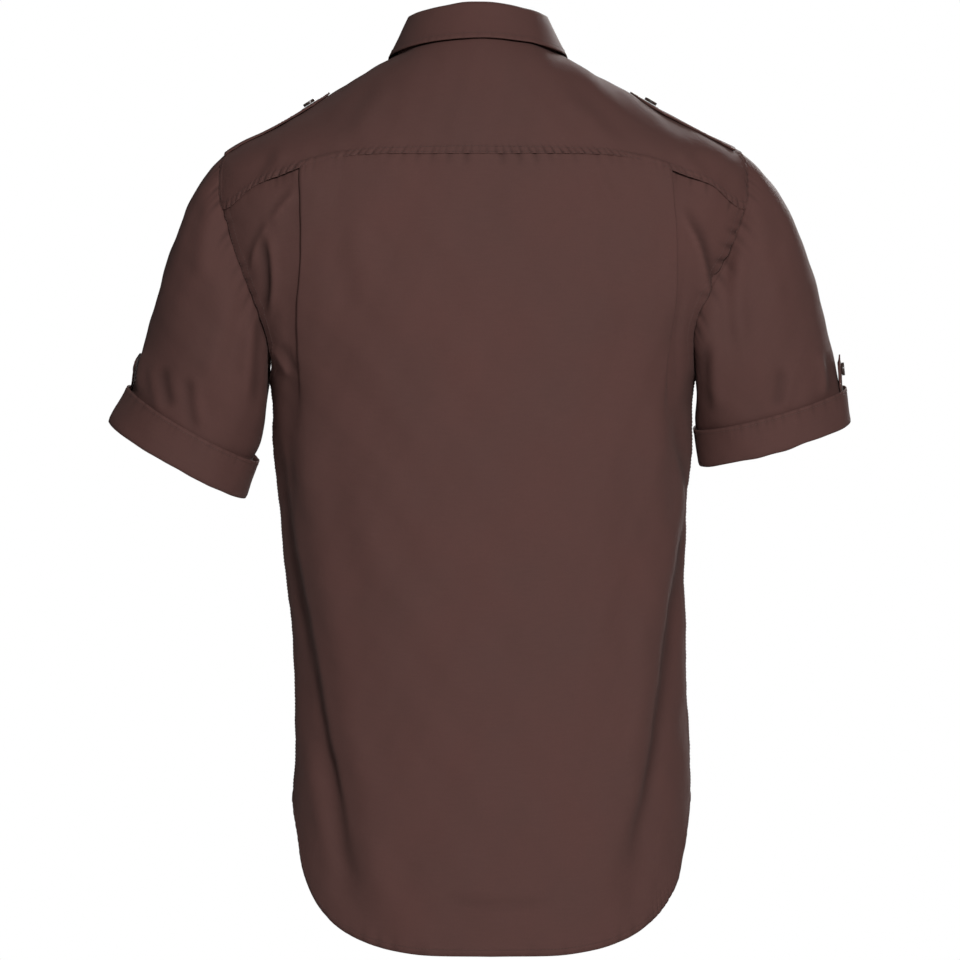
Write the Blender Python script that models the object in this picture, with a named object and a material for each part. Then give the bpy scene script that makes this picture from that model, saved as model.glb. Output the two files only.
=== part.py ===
"""A short-sleeved military shirt, filled out as worn, as hollow walls of cloth.

The script works in millimetres and writes metres, +Z up, with the front towards -Y and the wearer's left
towards +X. The origin is in the middle of the neck, level with the top of the shoulders.
A place on the body is a turn in degrees, 0 at the middle of the back, 90 at the wearer's left side and 180
at the middle of the front, and a drop, the depth below the origin of that ring at its sides.
"""
from collections import namedtuple

import bmesh
import bpy
import numpy as np
from mathutils import Vector

MM = 0.001

# Driving sizes
WALL = 1.2               # thickness of one wall of cloth
SEAM = 0.4               # the gap between two pieces at a seam, half of it taken from each
PLEAT_SEAM = 0.40        # the back's share of the gap, larger as its pleats bend the seam
LAYER = 1.7              # from the middle of one wall to the middle of the next, where one lies on another
NECK_DROP = -6.0         # the ring of the neck seam
TIP_DROP = 80.0          # the ring where the shoulder meets the sleeve
UNDERARM_DROP = 272.0
FRONT_SEAM_TURN = 128.0  # where the yoke's front seam leaves the neck
NECK_FAN_TURN = 56.0     # the neck's place that faces the corner of the yoke seam and the armhole
BAND_COLUMNS = (-16.0, 0.0, 16.0)  # each front runs past the middle by half of the band's width
STRAP_HALF_WIDTH = 22.0
TAB_HALF_WIDTH = 14.0
BUTTON_RADIUS = 5.6
BUTTON_THICKNESS = 2.4

CLOTH_COLOUR = (0.105, 0.051, 0.042, 1.0)
BUTTON_COLOUR = (0.035, 0.021, 0.017, 1.0)

# The body's form, a row for each ring from the neck down
Ring = namedtuple("Ring", "drop half_width middle back front rise_back rise_front squareness")
RINGS = (
    Ring(-6.0, 69.0, 2.0, 60.0, 70.0, 15.0, -68.0, 2.0),
    Ring(8.0, 94.0, 1.0, 72.0, 80.0, 10.0, -72.0, 2.05),
    Ring(26.0, 124.0, 0.0, 84.0, 90.0, 4.0, -74.0, 2.1),
    Ring(57.0, 177.0, -2.0, 97.0, 104.0, 2.0, -68.0, 2.2),
    Ring(80.0, 222.0, -3.0, 104.0, 113.0, 0.0, -62.0, 2.3),
    Ring(110.0, 239.0, -3.0, 109.0, 121.0, 0.0, -50.0, 2.35),
    Ring(150.0, 236.0, -3.0, 113.0, 128.0, 0.0, -35.0, 2.35),
    Ring(200.0, 217.0, -3.0, 115.0, 132.0, 0.0, -15.0, 2.35),
    Ring(240.0, 195.0, -2.0, 115.0, 133.0, 0.0, -5.0, 2.3),
    Ring(275.0, 183.0, -2.0, 113.0, 131.0, 0.0, 0.0, 2.3),
    Ring(330.0, 180.0, -2.0, 111.0, 128.0, 0.0, 0.0, 2.3),
    Ring(430.0, 172.0, -4.0, 108.0, 124.0, 0.0, 0.0, 2.3),
    Ring(550.0, 168.5, -10.0, 108.0, 122.0, 0.0, 0.0, 2.3),
    Ring(636.0, 171.0, -10.0, 110.0, 122.0, 0.0, 0.0, 2.3),
    Ring(780.0, 172.0, -10.0, 112.0, 124.0, 0.0, 0.0, 2.3),
)

# The shirt-tail hem: its height at each turn from the middle of the back to the middle of the front
Hem = namedtuple("Hem", "turn height")
HEM = (
    Hem(0.0, -770.0), Hem(20.0, -768.0), Hem(34.0, -760.0), Hem(51.0, -740.0), Hem(60.0, -722.0),
    Hem(67.0, -704.0), Hem(75.0, -673.0), Hem(82.0, -651.0), Hem(90.0, -636.0), Hem(98.0, -648.0),
    Hem(106.0, -672.0), Hem(116.0, -698.0), Hem(132.0, -718.0), Hem(150.0, -729.0), Hem(180.0, -734.0),
)

# The armholes: how far the seam reaches from the side, in degrees, towards the back and the front
Armhole = namedtuple("Armhole", "side back front extra_back")
ARMHOLES = {
    "left": Armhole(1.0, 25.0, 28.0, 0.0),
    "right": Armhole(-1.0, 25.0, 28.0, 5.5),
}
ARMHOLE_YOKE_BACK = 60.0     # degrees round the armhole from its top to the back yoke seam
ARMHOLE_YOKE_FRONT = 315.0   # and to the front yoke seam

# The back yoke's seam: its height at each share of the way from the middle of the back to an armhole
Seam = namedtuple("Seam", "share height")
YOKE_SEAM = (
    Seam(0.0, -81.0), Seam(0.3, -81.5), Seam(0.4, -83.0), Seam(0.5, -87.5), Seam(0.62, -97.0),
    Seam(0.74, -105.0), Seam(0.86, -112.0), Seam(1.0, -122.5),
)

# The two long pleats of the back: their column, as a share of the half width, their path down the back, and how
# deep the cloth is laid over itself
Place = namedtuple("Place", "height x")
Pleat = namedtuple("Pleat", "share path half_zone depth step full_height end_height flat_height")
PLEATS = (
    Pleat(0.56, (Place(-95, 151), Place(-165, 150), Place(-235, 154), Place(-310, 156), Place(-430, 157)),
          0.07, 10.5, 2.0, -190.0, -330.0, -430.0),
    Pleat(-0.585, (Place(-95, -162), Place(-155, -165), Place(-205, -163), Place(-310, -159), Place(-430, -158)),
          0.07, 10.5, 2.0, -190.0, -330.0, -430.0),
)
PLEAT_COLUMNS = np.array([0.0, 0.12, 0.22, 0.3, 0.38, 0.5, 0.62, 0.7, 0.78, 0.88, 1.0])

# The largest soft folds of the back: their path across the back at five heights, their width, how far the
# ridge on the inner side stands out and how far the trough on the outer side sinks in
Fold = namedtuple("Fold", "path width ridge trough")
BACK_FOLDS = (
    Fold((Place(-280, 176), Place(-415, 156), Place(-522, 136), Place(-638, 115), Place(-735, 96)),
         15.0, 2.5, 6.0),
    Fold((Place(-275, -163), Place(-378, -176), Place(-470, -161), Place(-594, -142), Place(-735, -116)),
         14.0, 3.0, 7.0),
)

# The collar's fall: where each place on the stand's top edge ends on the body
Fall = namedtuple("Fall", "turn edge_turn edge_drop stand_off")
FALLS = (
    Fall(0.0, 0.0, -3.0, 5.0),
    Fall(45.0, 45.0, -3.0, 4.6),
    Fall(90.0, 90.0, -3.0, 3.2),
    Fall(115.0, 110.0, 1.0, 3.4),
    Fall(135.0, 127.0, 8.0, 3.8),
    Fall(155.0, 142.0, 19.0, 4.0),
    Fall(176.0, 156.0, 31.0, 4.0),
)
COLLAR_TOP = Ring(0.0, 56.0, 2.0, 46.0, 60.0, 10.5, -71.0, 2.0)
COLLAR_TOP_HEIGHT = 37.0

# The sleeves. The start is where the cloth leaves the armhole, the end is where the cuff's top edge lies.
# Each line's way out and down is the pull of the curve at that end.
SleeveLine = namedtuple("SleeveLine", "start_out start_down end_out end_down")
Sleeve = namedtuple("Sleeve", "side top under cuff_top_outer cuff_top_inner cuff_end_outer cuff_end_inner "
                              "cuff_gap_inner tab_turn")
SLEEVES = {
    "left": Sleeve(1.0,
                   SleeveLine(42.0, 31.0, 21.0, 77.0), SleeveLine(0.0, 26.0, 10.0, 17.0),
                   (300.0, -283.0), (196.5, -341.0), (318.5, -310.5), (204.5, -374.0), 6.0, -22.0),
    "right": Sleeve(-1.0,
                    SleeveLine(51.0, 32.0, 14.0, 69.0), SleeveLine(1.0, 20.0, 2.0, 12.0),
                    (311.0, -282.0), (187.5, -315.5), (319.0, -310.0), (191.0, -346.5), 2.4, 0.0),
}
SLEEVE_DEPTH = 56.0          # half of the sleeve's width from front to back, at the cuff
SLEEVE_FORWARD = 13.0        # how far the cuff lies in front of the middle
CUFF_TILT = 0.14             # the cuff's back edge hangs lower than its front edge
CUFF_GAP = 2.6               # from the sleeve's wall to the cuff's wall
CUFF_GAP_TAB = 5.4           # the same where the tab passes between them


def smooth_curve(knots, values):
    """A smooth curve through the values, each slope set by its two neighbours."""
    knots = np.asarray(knots, float)
    values = np.asarray(values, float)
    runs = np.diff(knots)
    rises = np.diff(values) / runs
    slopes = np.empty_like(values)
    slopes[0] = rises[0]
    slopes[-1] = rises[-1]
    slopes[1:-1] = (runs[1:] * rises[:-1] + runs[:-1] * rises[1:]) / (runs[1:] + runs[:-1])

    def read(place):
        place = np.clip(np.asarray(place, float), knots[0], knots[-1])
        index = np.clip(np.searchsorted(knots, place, side="right") - 1, 0, len(runs) - 1)
        run = runs[index]
        t = (place - knots[index]) / run
        lower = (1 + 2 * t) * (1 - t) ** 2 * values[index] + t * (1 - t) ** 2 * run * slopes[index]
        upper = t * t * (3 - 2 * t) * values[index + 1] - t * t * (1 - t) * run * slopes[index + 1]
        return lower + upper

    return read


def column(rows, name):
    return [getattr(row, name) for row in rows]


def smooth_step(low, high, value):
    """0 at low and before it, 1 at high and past it; low may be the larger."""
    t = np.clip((value - low) / (high - low), 0.0, 1.0)
    return t * t * (3 - 2 * t)



def path_x(path):
    """A path across the cloth, read by height."""
    return smooth_curve(column(path, "height")[::-1], column(path, "x")[::-1])


BODY = {name: smooth_curve(column(RINGS, "drop"), column(RINGS, name)) for name in Ring._fields[1:]}
HEM_HEIGHT = smooth_curve(column(HEM, "turn"), column(HEM, "height"))
SEAM_HEIGHT = smooth_curve(column(YOKE_SEAM, "share"), column(YOKE_SEAM, "height"))


def ring_point(turn, ring, height):
    """A point of one ring, whose sides lie at the given height."""
    angle = np.radians(turn)
    side = np.sin(angle)
    aft = np.cos(angle)
    power = 2.0 / ring["squareness"]
    x = ring["middle"] + ring["half_width"] * np.sign(side) * np.abs(side) ** power
    y = np.where(aft > 0, ring["back"], ring["front"]) * np.sign(aft) * np.abs(aft) ** power
    z = height + np.where(aft > 0, ring["rise_back"], ring["rise_front"]) * aft ** 2
    return np.stack(np.broadcast_arrays(x, y, z), axis=-1)


def body(turn, drop):
    """A point on the body's form."""
    drop = np.asarray(drop, float)
    ring = {name: read(drop) for name, read in BODY.items()}
    return ring_point(np.asarray(turn, float), ring, -drop)


def unit(vectors):
    return vectors / np.maximum(np.linalg.norm(vectors, axis=-1, keepdims=True), 1e-9)


def outward(turn, drop):
    """The outward direction of the body's form."""
    round_step = body(turn + 0.5, drop) - body(turn - 0.5, drop)
    down_step = body(turn, drop + 0.5) - body(turn, drop - 0.5)
    return unit(np.cross(round_step, down_step))


def drop_at_height(turn, height):
    """The ring that passes through a height at a turn, by halving."""
    low = np.full(np.shape(turn), NECK_DROP)
    high = np.full(np.shape(turn), 780.0)
    for _ in range(40):
        middle = (low + high) / 2
        above = body(turn, middle)[..., 2] > height
        low = np.where(above, middle, low)
        high = np.where(above, high, middle)
    return (low + high) / 2


def armhole(name, around):
    """The armhole seam as turn and drop; around is 0 at its top, 90 at the back, 180 at the underarm."""
    shape = ARMHOLES[name]
    angle = np.radians(around)
    reach = np.abs(np.sin(angle)) ** 0.75
    low_back = np.exp(-((np.asarray(around) - 112.0) / 26.0) ** 2)
    back = 90.0 - shape.back * reach - shape.extra_back * low_back
    front = 90.0 + shape.front * reach
    turn = np.where(np.sin(angle) >= 0, back, front)
    drop = TIP_DROP + (UNDERARM_DROP - TIP_DROP) * (1 - np.cos(angle)) / 2
    return shape.side * turn, drop


def arc(first, last, steps):
    return np.linspace(first, last, steps + 1)


def armhole_samples():
    """The places round an armhole that all its neighbours share."""
    yoke_back = arc(0.0, ARMHOLE_YOKE_BACK, 4)
    back = arc(ARMHOLE_YOKE_BACK, 180.0, 8)
    front = arc(180.0, ARMHOLE_YOKE_FRONT, 8)
    yoke_front = arc(ARMHOLE_YOKE_FRONT, 360.0, 4)
    return yoke_back, back, front, yoke_front


YOKE_BACK, BACK_EDGE, FRONT_EDGE, YOKE_FRONT = armhole_samples()


def seam_places(turns):
    """The back yoke seam as turn and drop, joined to the armholes at its ends."""
    left_turn, left_drop = armhole("left", ARMHOLE_YOKE_BACK)
    right_turn, right_drop = armhole("right", ARMHOLE_YOKE_BACK)
    edge_turn = np.where(turns > 0, left_turn, -right_turn)
    share = np.abs(turns) / edge_turn
    drops = drop_at_height(turns, SEAM_HEIGHT(share))
    join = smooth_step(0.75, 1.0, share)
    edge_drop = np.where(turns > 0, left_drop, right_drop)
    return np.stack([turns, drops + join * (edge_drop - drops)], axis=-1)


def patch(top, bottom, first, last, across, down_first, down_middle, down_last):
    """Places inside four edges. The first and last edges hold a (turn, drop) for each row, and the top and
    bottom ones hold one for each column or for each place of the grid. The rows' shares of the way down may
    differ at the first edge, in the middle and at the last edge."""
    u = np.broadcast_to(across, (len(down_middle), np.shape(across)[-1]))
    near_first = np.maximum(1 - 2 * u, 0.0) ** 2
    near_last = np.maximum(2 * u - 1, 0.0) ** 2
    v = down_middle[:, None] * (1 - near_first - near_last)
    v = v + down_first[:, None] * near_first + down_last[:, None] * near_last
    places = (1 - v)[..., None] * top + v[..., None] * bottom
    for edge, down, weight in ((first, down_first, (1 - u) ** 2), (last, down_last, u ** 2)):
        straight = edge[0] + (edge[-1] - edge[0]) * down[:, None]
        places = places + weight[..., None] * (edge - straight)[:, None]
    return places


def grid_normals(grid, around=False):
    """The outward direction at each point of a grid of points."""
    if around:
        across = np.roll(grid, -1, axis=1) - np.roll(grid, 1, axis=1)
    else:
        across = np.gradient(grid, axis=1)
    return unit(np.cross(across, np.gradient(grid, axis=0)))


def trim(grid, edges, gap=SEAM / 2):
    """Draws the named edges of a grid back from a seam."""
    moves = {"top": (np.s_[0], np.s_[1]), "bottom": (np.s_[-1], np.s_[-2]),
             "first": (np.s_[:, 0], np.s_[:, 1]), "last": (np.s_[:, -1], np.s_[:, -2])}
    result = grid.copy()
    for edge in edges:
        outer, inner = moves[edge]
        result[outer] += unit(grid[inner] - grid[outer]) * gap
    return result


# The back

def fold_relief(points):
    """How far the large soft folds of the back move each point outwards."""
    relief = np.zeros(points.shape[:-1])
    for fold in BACK_FOLDS:
        top, end = fold.path[0], fold.path[-1]
        away = (points[..., 0] - path_x(fold.path)(points[..., 2])) * np.sign(end.x) / fold.width
        fade = smooth_step(top.height, top.height - 90.0, points[..., 2])
        fade = fade * smooth_step(end.height - 30.0, end.height + 60.0, points[..., 2])
        wave = fold.ridge * np.exp(-(away + 1.1) ** 2) - fold.trough * np.exp(-(away - 1.0) ** 2)
        relief += fade * wave
    return relief


def lay_pleats(points, columns):
    """Lays the back's cloth over itself along each pleat, the middle of the back on top."""
    normals = grid_normals(points)
    along = unit(np.gradient(points, axis=1))
    moved = points.copy()
    for pleat in PLEATS:
        side = np.sign(pleat.share)
        zone = (columns - pleat.share) * side / pleat.half_zone
        t = (zone + 1.0) / 2.0
        lie = smooth_step(pleat.end_height, pleat.full_height, points[..., 2])
        lift = smooth_step(pleat.flat_height, pleat.end_height, points[..., 2])
        inside = (np.abs(zone) < 1.0)[None, :]
        slide = np.where(inside, pleat.depth * np.sin(2 * np.pi * t)[None, :] * lie, 0.0)
        folded = 1.0 - smooth_step(0.22, 0.38, t) - smooth_step(0.62, 0.78, t)
        plain = np.cos(np.pi * np.clip(t, 0.0, 1.0))
        level = folded[None, :] * lie ** 2 + plain[None, :] * (1 - lie ** 2)
        beyond = np.exp(-(np.maximum(np.abs(zone) - 1.0, 0.0) / 1.3) ** 2)[None, :]
        moved += normals * (pleat.step * level * beyond * lift)[..., None]
        moved += along * side * slide[..., None]
    return moved


def back_columns():
    """The back's columns as shares of its half width, close together where a pleat turns."""
    left, right = PLEATS
    left_zone = left.share + (PLEAT_COLUMNS * 2 - 1) * left.half_zone
    right_zone = right.share + (PLEAT_COLUMNS * 2 - 1) * right.half_zone
    return np.concatenate([arc(-1.0, right_zone[0], 6)[:-1], right_zone[:-1],
                           arc(right_zone[-1], left_zone[0], 12)[:-1], left_zone[:-1],
                           arc(left_zone[-1], 1.0, 6)])


def follow_pleats(columns, points):
    """The columns of each row, moved so that the pleats follow their own paths over these points."""
    left, right = PLEATS
    knots = np.array([-1.0, right.share - right.half_zone, right.share + right.half_zone,
                      left.share - left.half_zone, left.share + left.half_zone, 1.0])
    rows = []
    for row in points:
        moves = []
        for pleat in (right, left):
            height = np.interp(pleat.share, columns, row[:, 2])
            place = np.interp(path_x(pleat.path)(height), row[:, 0], columns)
            moves.append(place - pleat.share)
        moved = knots + np.array([0.0, moves[0], moves[0], moves[1], moves[1], 0.0])
        rows.append(np.interp(columns, knots, moved))
    return np.array(rows)


SIDE_SEAM_DROPS = arc(UNDERARM_DROP, -HEM_HEIGHT(90.0), 14)[1:]


def panel_edge(name, around):
    """A panel's edge down the armhole and then the side seam."""
    turn, drop = armhole(name, around)
    side = ARMHOLES[name].side
    turns = np.concatenate([turn, np.full(len(SIDE_SEAM_DROPS), side * 90.0)])
    drops = np.concatenate([drop, SIDE_SEAM_DROPS])
    return np.stack([turns, drops], axis=-1)


def rows_of(edge):
    drops = edge[:, 1]
    return (drops - drops[0]) / (drops[-1] - drops[0])


def hem_places(turns):
    return np.stack([turns, drop_at_height(turns, HEM_HEIGHT(np.abs(turns)))], axis=-1)


def top_turns(shares):
    """The turns of the yoke seam at shares of the half width."""
    left_turn = armhole("left", ARMHOLE_YOKE_BACK)[0]
    right_turn = -armhole("right", ARMHOLE_YOKE_BACK)[0]
    return shares * np.where(shares > 0, left_turn, right_turn)


def back_places(shares):
    """The back as turns and drops, with the given columns in each row."""
    first = panel_edge("right", BACK_EDGE)
    last = panel_edge("left", BACK_EDGE)
    even = np.linspace(0.0, 1.0, len(first))
    return patch(seam_places(top_turns(shares)), hem_places(shares * 90.0), first, last,
                 (shares + 1) / 2, rows_of(first), even, rows_of(last))


def back_points():
    columns = back_columns()
    rows = len(BACK_EDGE) + len(SIDE_SEAM_DROPS)
    places = back_places(np.tile(columns, (rows, 1)))
    shares = follow_pleats(columns, body(places[..., 0], places[..., 1]))
    places = back_places(shares)
    points = body(places[..., 0], places[..., 1])
    normals = outward(places[..., 0], places[..., 1])
    seam_fade = smooth_step(1.0, 0.8, np.abs(shares))
    points = points + normals * (seam_fade * fold_relief(points))[..., None]
    return lay_pleats(points, columns)


# The yoke

def yoke_points():
    left_front = np.stack(armhole("left", YOKE_FRONT[:-1]), axis=-1)
    left_back = np.stack(armhole("left", YOKE_BACK), axis=-1)
    right_back = np.stack(armhole("right", YOKE_BACK[::-1]), axis=-1)
    right_front = np.stack(armhole("right", YOKE_FRONT[::-1][1:]), axis=-1)
    columns = back_columns()[::-1]
    for pleat in PLEATS:
        inner = np.abs(columns - pleat.share) < pleat.half_zone * 0.98
        columns = columns[~inner | (np.abs(columns - pleat.share) < 1e-9)]
    seam = seam_places(top_turns(columns))
    outer = np.concatenate([left_front, left_back[:-1], seam, right_back[1:], right_front])
    sides = len(left_front) + len(left_back) - 1
    neck_turns = np.concatenate([arc(FRONT_SEAM_TURN, NECK_FAN_TURN, sides)[:-1], columns * NECK_FAN_TURN,
                                 arc(-NECK_FAN_TURN, -FRONT_SEAM_TURN, sides)[1:]])
    neck = np.stack([neck_turns, np.full(len(neck_turns), NECK_DROP)], axis=-1)
    down = arc(0.0, 1.0, 6)
    first = neck[0] + (outer[0] - neck[0]) * down[:, None]
    last = neck[-1] + (outer[-1] - neck[-1]) * down[:, None]
    across = np.linspace(0.0, 1.0, len(neck_turns))
    places = patch(neck, outer, first, last, across, down, down, down)
    return body(places[..., 0], places[..., 1])[:, ::-1]


# The fronts

def front_turns(side, x, drops):
    """The turns of the front's rings at x, counted from that front's own side past the middle."""
    share = (x - side * BODY["middle"](drops)) / BODY["half_width"](drops)
    power = 2.0 / BODY["squareness"](drops)
    return side * (180.0 - np.degrees(np.arcsin(np.sign(share) * np.abs(share) ** (1 / power))))


def hem_drops(turns):
    """The rings where the hem lies, also past the middle of the front."""
    folded = np.where(np.abs(turns) > 180.0, 360.0 - np.abs(turns), np.abs(turns))
    return drop_at_height(turns, HEM_HEIGHT(folded))


def front_places(name):
    """A front as turns and drops, from its edge past the middle to the armhole and side seam."""
    side = ARMHOLES[name].side
    edge = panel_edge(name, FRONT_EDGE[::-1])
    even = np.linspace(0.0, 1.0, len(edge))
    middle_drops = NECK_DROP + (hem_drops(np.array(180.0)) - NECK_DROP) * even
    strip = [np.stack([front_turns(side, x, middle_drops), middle_drops], axis=-1) for x in BAND_COLUMNS]
    strip = np.stack(strip, axis=1)
    inner = strip[:, -1]
    neck_turns = arc(inner[0, 0], side * FRONT_SEAM_TURN, 5)
    neck = np.stack([neck_turns, np.full(len(neck_turns), NECK_DROP)], axis=-1)
    seam = neck[-1] + (edge[0] - neck[-1]) * arc(0.0, 1.0, 6)[1:, None]
    top = np.concatenate([neck, seam])
    across = np.linspace(0.0, 1.0, len(top))
    bottom_turns = inner[-1, 0] + (edge[-1, 0] - inner[-1, 0]) * (1 - (1 - across) ** 1.4)
    bottom = np.stack([bottom_turns, hem_drops(bottom_turns)], axis=-1)
    bottom[0] = inner[-1]
    main = patch(top, bottom, inner, edge, across, even, even, rows_of(edge))
    return np.concatenate([strip[:, :-1], main], axis=1)


def front_points(name):
    """A front; the right one runs under the left one at the middle."""
    side = ARMHOLES[name].side
    places = front_places(name)
    points = body(places[..., 0], places[..., 1])
    if side < 0:
        normals = outward(places[..., 0], places[..., 1])
        sunk = LAYER * smooth_step(62.0, 30.0, side * points[..., 0])
        return points - normals * sunk[..., None]
    return points[:, ::-1]


def band_points():
    """The buttonhole band, on the left front's edge."""
    places = front_places("left")[:, :len(BAND_COLUMNS)]
    normals = outward(places[..., 0], places[..., 1])
    return (body(places[..., 0], places[..., 1]) + normals * LAYER)[:, ::-1]


def front_line(height, lift):
    """A point over the middle of the front, and the outward direction there."""
    drop = drop_at_height(np.array(180.0), height)
    turn = front_turns(1.0, 0.0, drop)
    normal = outward(turn, drop)
    return body(turn, drop) + normal * lift, normal


# The collar

def stand_point(turn, share, lift=0.0):
    """A point of the collar stand; share is 0 at the neck seam and 1 at the top edge."""
    low = body(turn, NECK_DROP)
    ring = {name: getattr(COLLAR_TOP, name) for name in Ring._fields[1:]}
    high = ring_point(np.asarray(turn, float), ring, COLLAR_TOP_HEIGHT)
    flat = unit((high + low) * np.array([1.0, 1.0, 0.0]))
    return low + (high - low) * np.asarray(share)[..., None] + flat * np.asarray(lift)[..., None]


def stand_points():
    turns = np.linspace(-193.0, 193.0, 37)
    past = smooth_step(150.0, 180.0, np.abs(turns)) * np.sign(turns)
    foot = 0.022 + 0.043 * smooth_step(140.0, 165.0, np.abs(turns))
    rows = [stand_point(turns, share, past * LAYER / 2) for share in (foot, 0.5, 1.0)]
    return np.array(rows)[::-1][:, ::-1]


def leaf_points():
    """The collar's turned-down leaf: up from the stand's top edge, over and down to its outer edge."""
    last_turn = FALLS[-1].turn
    turns = np.linspace(last_turn, -last_turn, 35)
    size = np.abs(turns)
    fall = {name: smooth_curve(column(FALLS, "turn"), column(FALLS, name))(size)
            for name in ("edge_turn", "edge_drop", "stand_off")}
    edge_turn = fall["edge_turn"] * np.sign(turns)
    edge = body(edge_turn, fall["edge_drop"])
    edge = edge + outward(edge_turn, fall["edge_drop"]) * fall["stand_off"][:, None]
    top = stand_point(turns, 1.0)
    out = unit(top * np.array([1.0, 1.0, 0.0]))
    up = np.array([0.0, 0.0, 1.0])
    rows = [top + up * 0.95, top + up * 2.4 + out * 0.5, top + up * 3.1 + out * 2.0,
            top + up * 2.1 + out * 4.0]
    start = rows[-1]
    pull = start + (-up * 0.42 + out * 0.2) * np.linalg.norm(edge - start, axis=1)[:, None]
    for t in (0.35, 0.68, 1.0):
        rows.append((1 - t) ** 2 * start + 2 * t * (1 - t) * pull + t * t * edge)
    return np.array(rows)[:, ::-1]


# The sleeves

def sleeve_frame(name, share):
    """The middle and the two half axes of the sleeve's ring in the cuff: 0 at its top edge, 1 at its end."""
    shape = SLEEVES[name]
    outer = np.array(shape.cuff_top_outer) * (1 - share) + np.array(shape.cuff_end_outer) * share
    inner = np.array(shape.cuff_top_inner) * (1 - share) + np.array(shape.cuff_end_inner) * share
    middle = (outer + inner) / 2
    half = (outer - inner) / 2
    centre = np.array([shape.side * middle[0], -SLEEVE_FORWARD - 4.0 * share, middle[1]])
    long_axis = np.array([shape.side * half[0], 0.0, half[1]])
    short_axis = np.array([0.0, 1.0, -CUFF_TILT]) * SLEEVE_DEPTH
    return centre, long_axis, short_axis


def cuff_ring(name, around, share, gap=0.0):
    """A ring of the sleeve inside the cuff, moved outwards by a gap."""
    centre, long_axis, short_axis = sleeve_frame(name, share)
    angle = np.radians(around)[:, None]
    gap = np.broadcast_to(gap, np.shape(around))[:, None]
    long_gap = unit(long_axis) * gap
    short_gap = unit(short_axis) * gap
    return centre + np.cos(angle) * (long_axis + long_gap) + np.sin(angle) * (short_axis + short_gap)


def sleeve_curve(name, around, shares):
    """The sleeve from the armhole to the cuff's top edge, a row of points for each share."""
    shape = SLEEVES[name]
    turn, drop = armhole(name, around)
    start = body(turn, drop)
    normal = outward(turn, drop)
    low = ((1 - np.cos(np.radians(around))) / 2)[:, None]
    swell = np.sin(np.radians(around))[:, None]
    ways = {}
    for name_of_way in SleeveLine._fields:
        ways[name_of_way] = (getattr(shape.top, name_of_way) * (1 - low)
                             + getattr(shape.under, name_of_way) * low)
    side = np.array([shape.side, 0.0, 0.0])
    down = np.array([0.0, 0.0, -1.0])
    depth = np.array([0.0, 1.0, 0.0])
    leave = side * ways["start_out"] + down * ways["start_down"] + depth * swell * 14.0
    arrive = side * ways["end_out"] + down * ways["end_down"] - depth * (swell * 2.0 + 6.0)
    start = start + normal * (0.7 + 2.1 * low) + unit(leave) * 0.8 * (1 - low)
    finish = cuff_ring(name, around, 0.0)
    rows = []
    for t in shares:
        rows.append((1 - t) ** 3 * start + 3 * t * (1 - t) ** 2 * (start + leave)
                    + 3 * t * t * (1 - t) * (finish - arrive) + t ** 3 * finish)
    return rows


def sleeve_around():
    return np.concatenate([YOKE_BACK[:-1], BACK_EDGE[:-1], FRONT_EDGE[:-1], YOKE_FRONT[:-1]])


def sleeve_points(name):
    around = sleeve_around()
    rows = sleeve_curve(name, around, arc(0.0, 1.0, 8))
    for share in (0.93,):
        rows.append(cuff_ring(name, around, share))
    grid = np.array(rows)
    return grid if SLEEVES[name].side < 0 else grid[:, ::-1]


def cuff_gap(name, around):
    """The gap under the cuff's top edge: wide over the tab and, on one side, at the underarm."""
    shape = SLEEVES[name]
    from_tab = (around - shape.tab_turn + 180.0) % 360.0 - 180.0
    tab = np.exp(-(from_tab / 34.0) ** 4)
    from_under = around - 180.0
    under = np.exp(-(from_under / 34.0) ** 2)
    return CUFF_GAP + (CUFF_GAP_TAB - CUFF_GAP) * tab + (shape.cuff_gap_inner - CUFF_GAP) * under


def cuff_points(name):
    """The turned-up cuff: down the outside, round the fold and a short way up in line with the sleeve."""
    around = arc(0.0, 360.0, 24)[:-1]
    top_gap = cuff_gap(name, around)
    rows = []
    for share in (0.0, 0.5, 0.94):
        rows.append(cuff_ring(name, around, share, top_gap * (1 - share) + CUFF_GAP * share))
    rows.append(cuff_ring(name, around, 1.02, CUFF_GAP * 0.8))
    rows.append(cuff_ring(name, around, 1.035, CUFF_GAP * 0.4))
    rows.append(cuff_ring(name, around, 1.01, 0.0))
    rows.append(cuff_ring(name, around, 0.945, 0.0))
    grid = np.array(rows)
    return grid if SLEEVES[name].side < 0 else grid[:, ::-1]


def tab_points(name):
    """The tab that comes up from under the cuff and stands off the sleeve."""
    shape = SLEEVES[name]
    spread = np.degrees(TAB_HALF_WIDTH / SLEEVE_DEPTH)
    rows = []
    for t, width, gap in ((0.87, 0.12, 5.2), (0.905, 1.0, 4.9), (0.95, 1.0, 3.8), (0.985, 1.0, 2.6)):
        around = shape.tab_turn + spread * width * np.array([-1.0, -0.5, 0.0, 0.5, 1.0])
        row = sleeve_curve(name, around % 360.0, [t])[0]
        near = sleeve_curve(name, around % 360.0, [t - 0.03])[0]
        beside = sleeve_curve(name, (around + 3.0) % 360.0, [t])[0]
        normal = unit(np.cross(beside - row, near - row)) * shape.side
        rows.append(row + normal * gap)
    around = shape.tab_turn + spread * np.array([-1.0, -0.5, 0.0, 0.5, 1.0])
    rows.append(cuff_ring(name, around, 0.16, 2.2))
    grid = np.array(rows)
    return grid if shape.side < 0 else grid[:, ::-1]


# The shoulder straps

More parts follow.
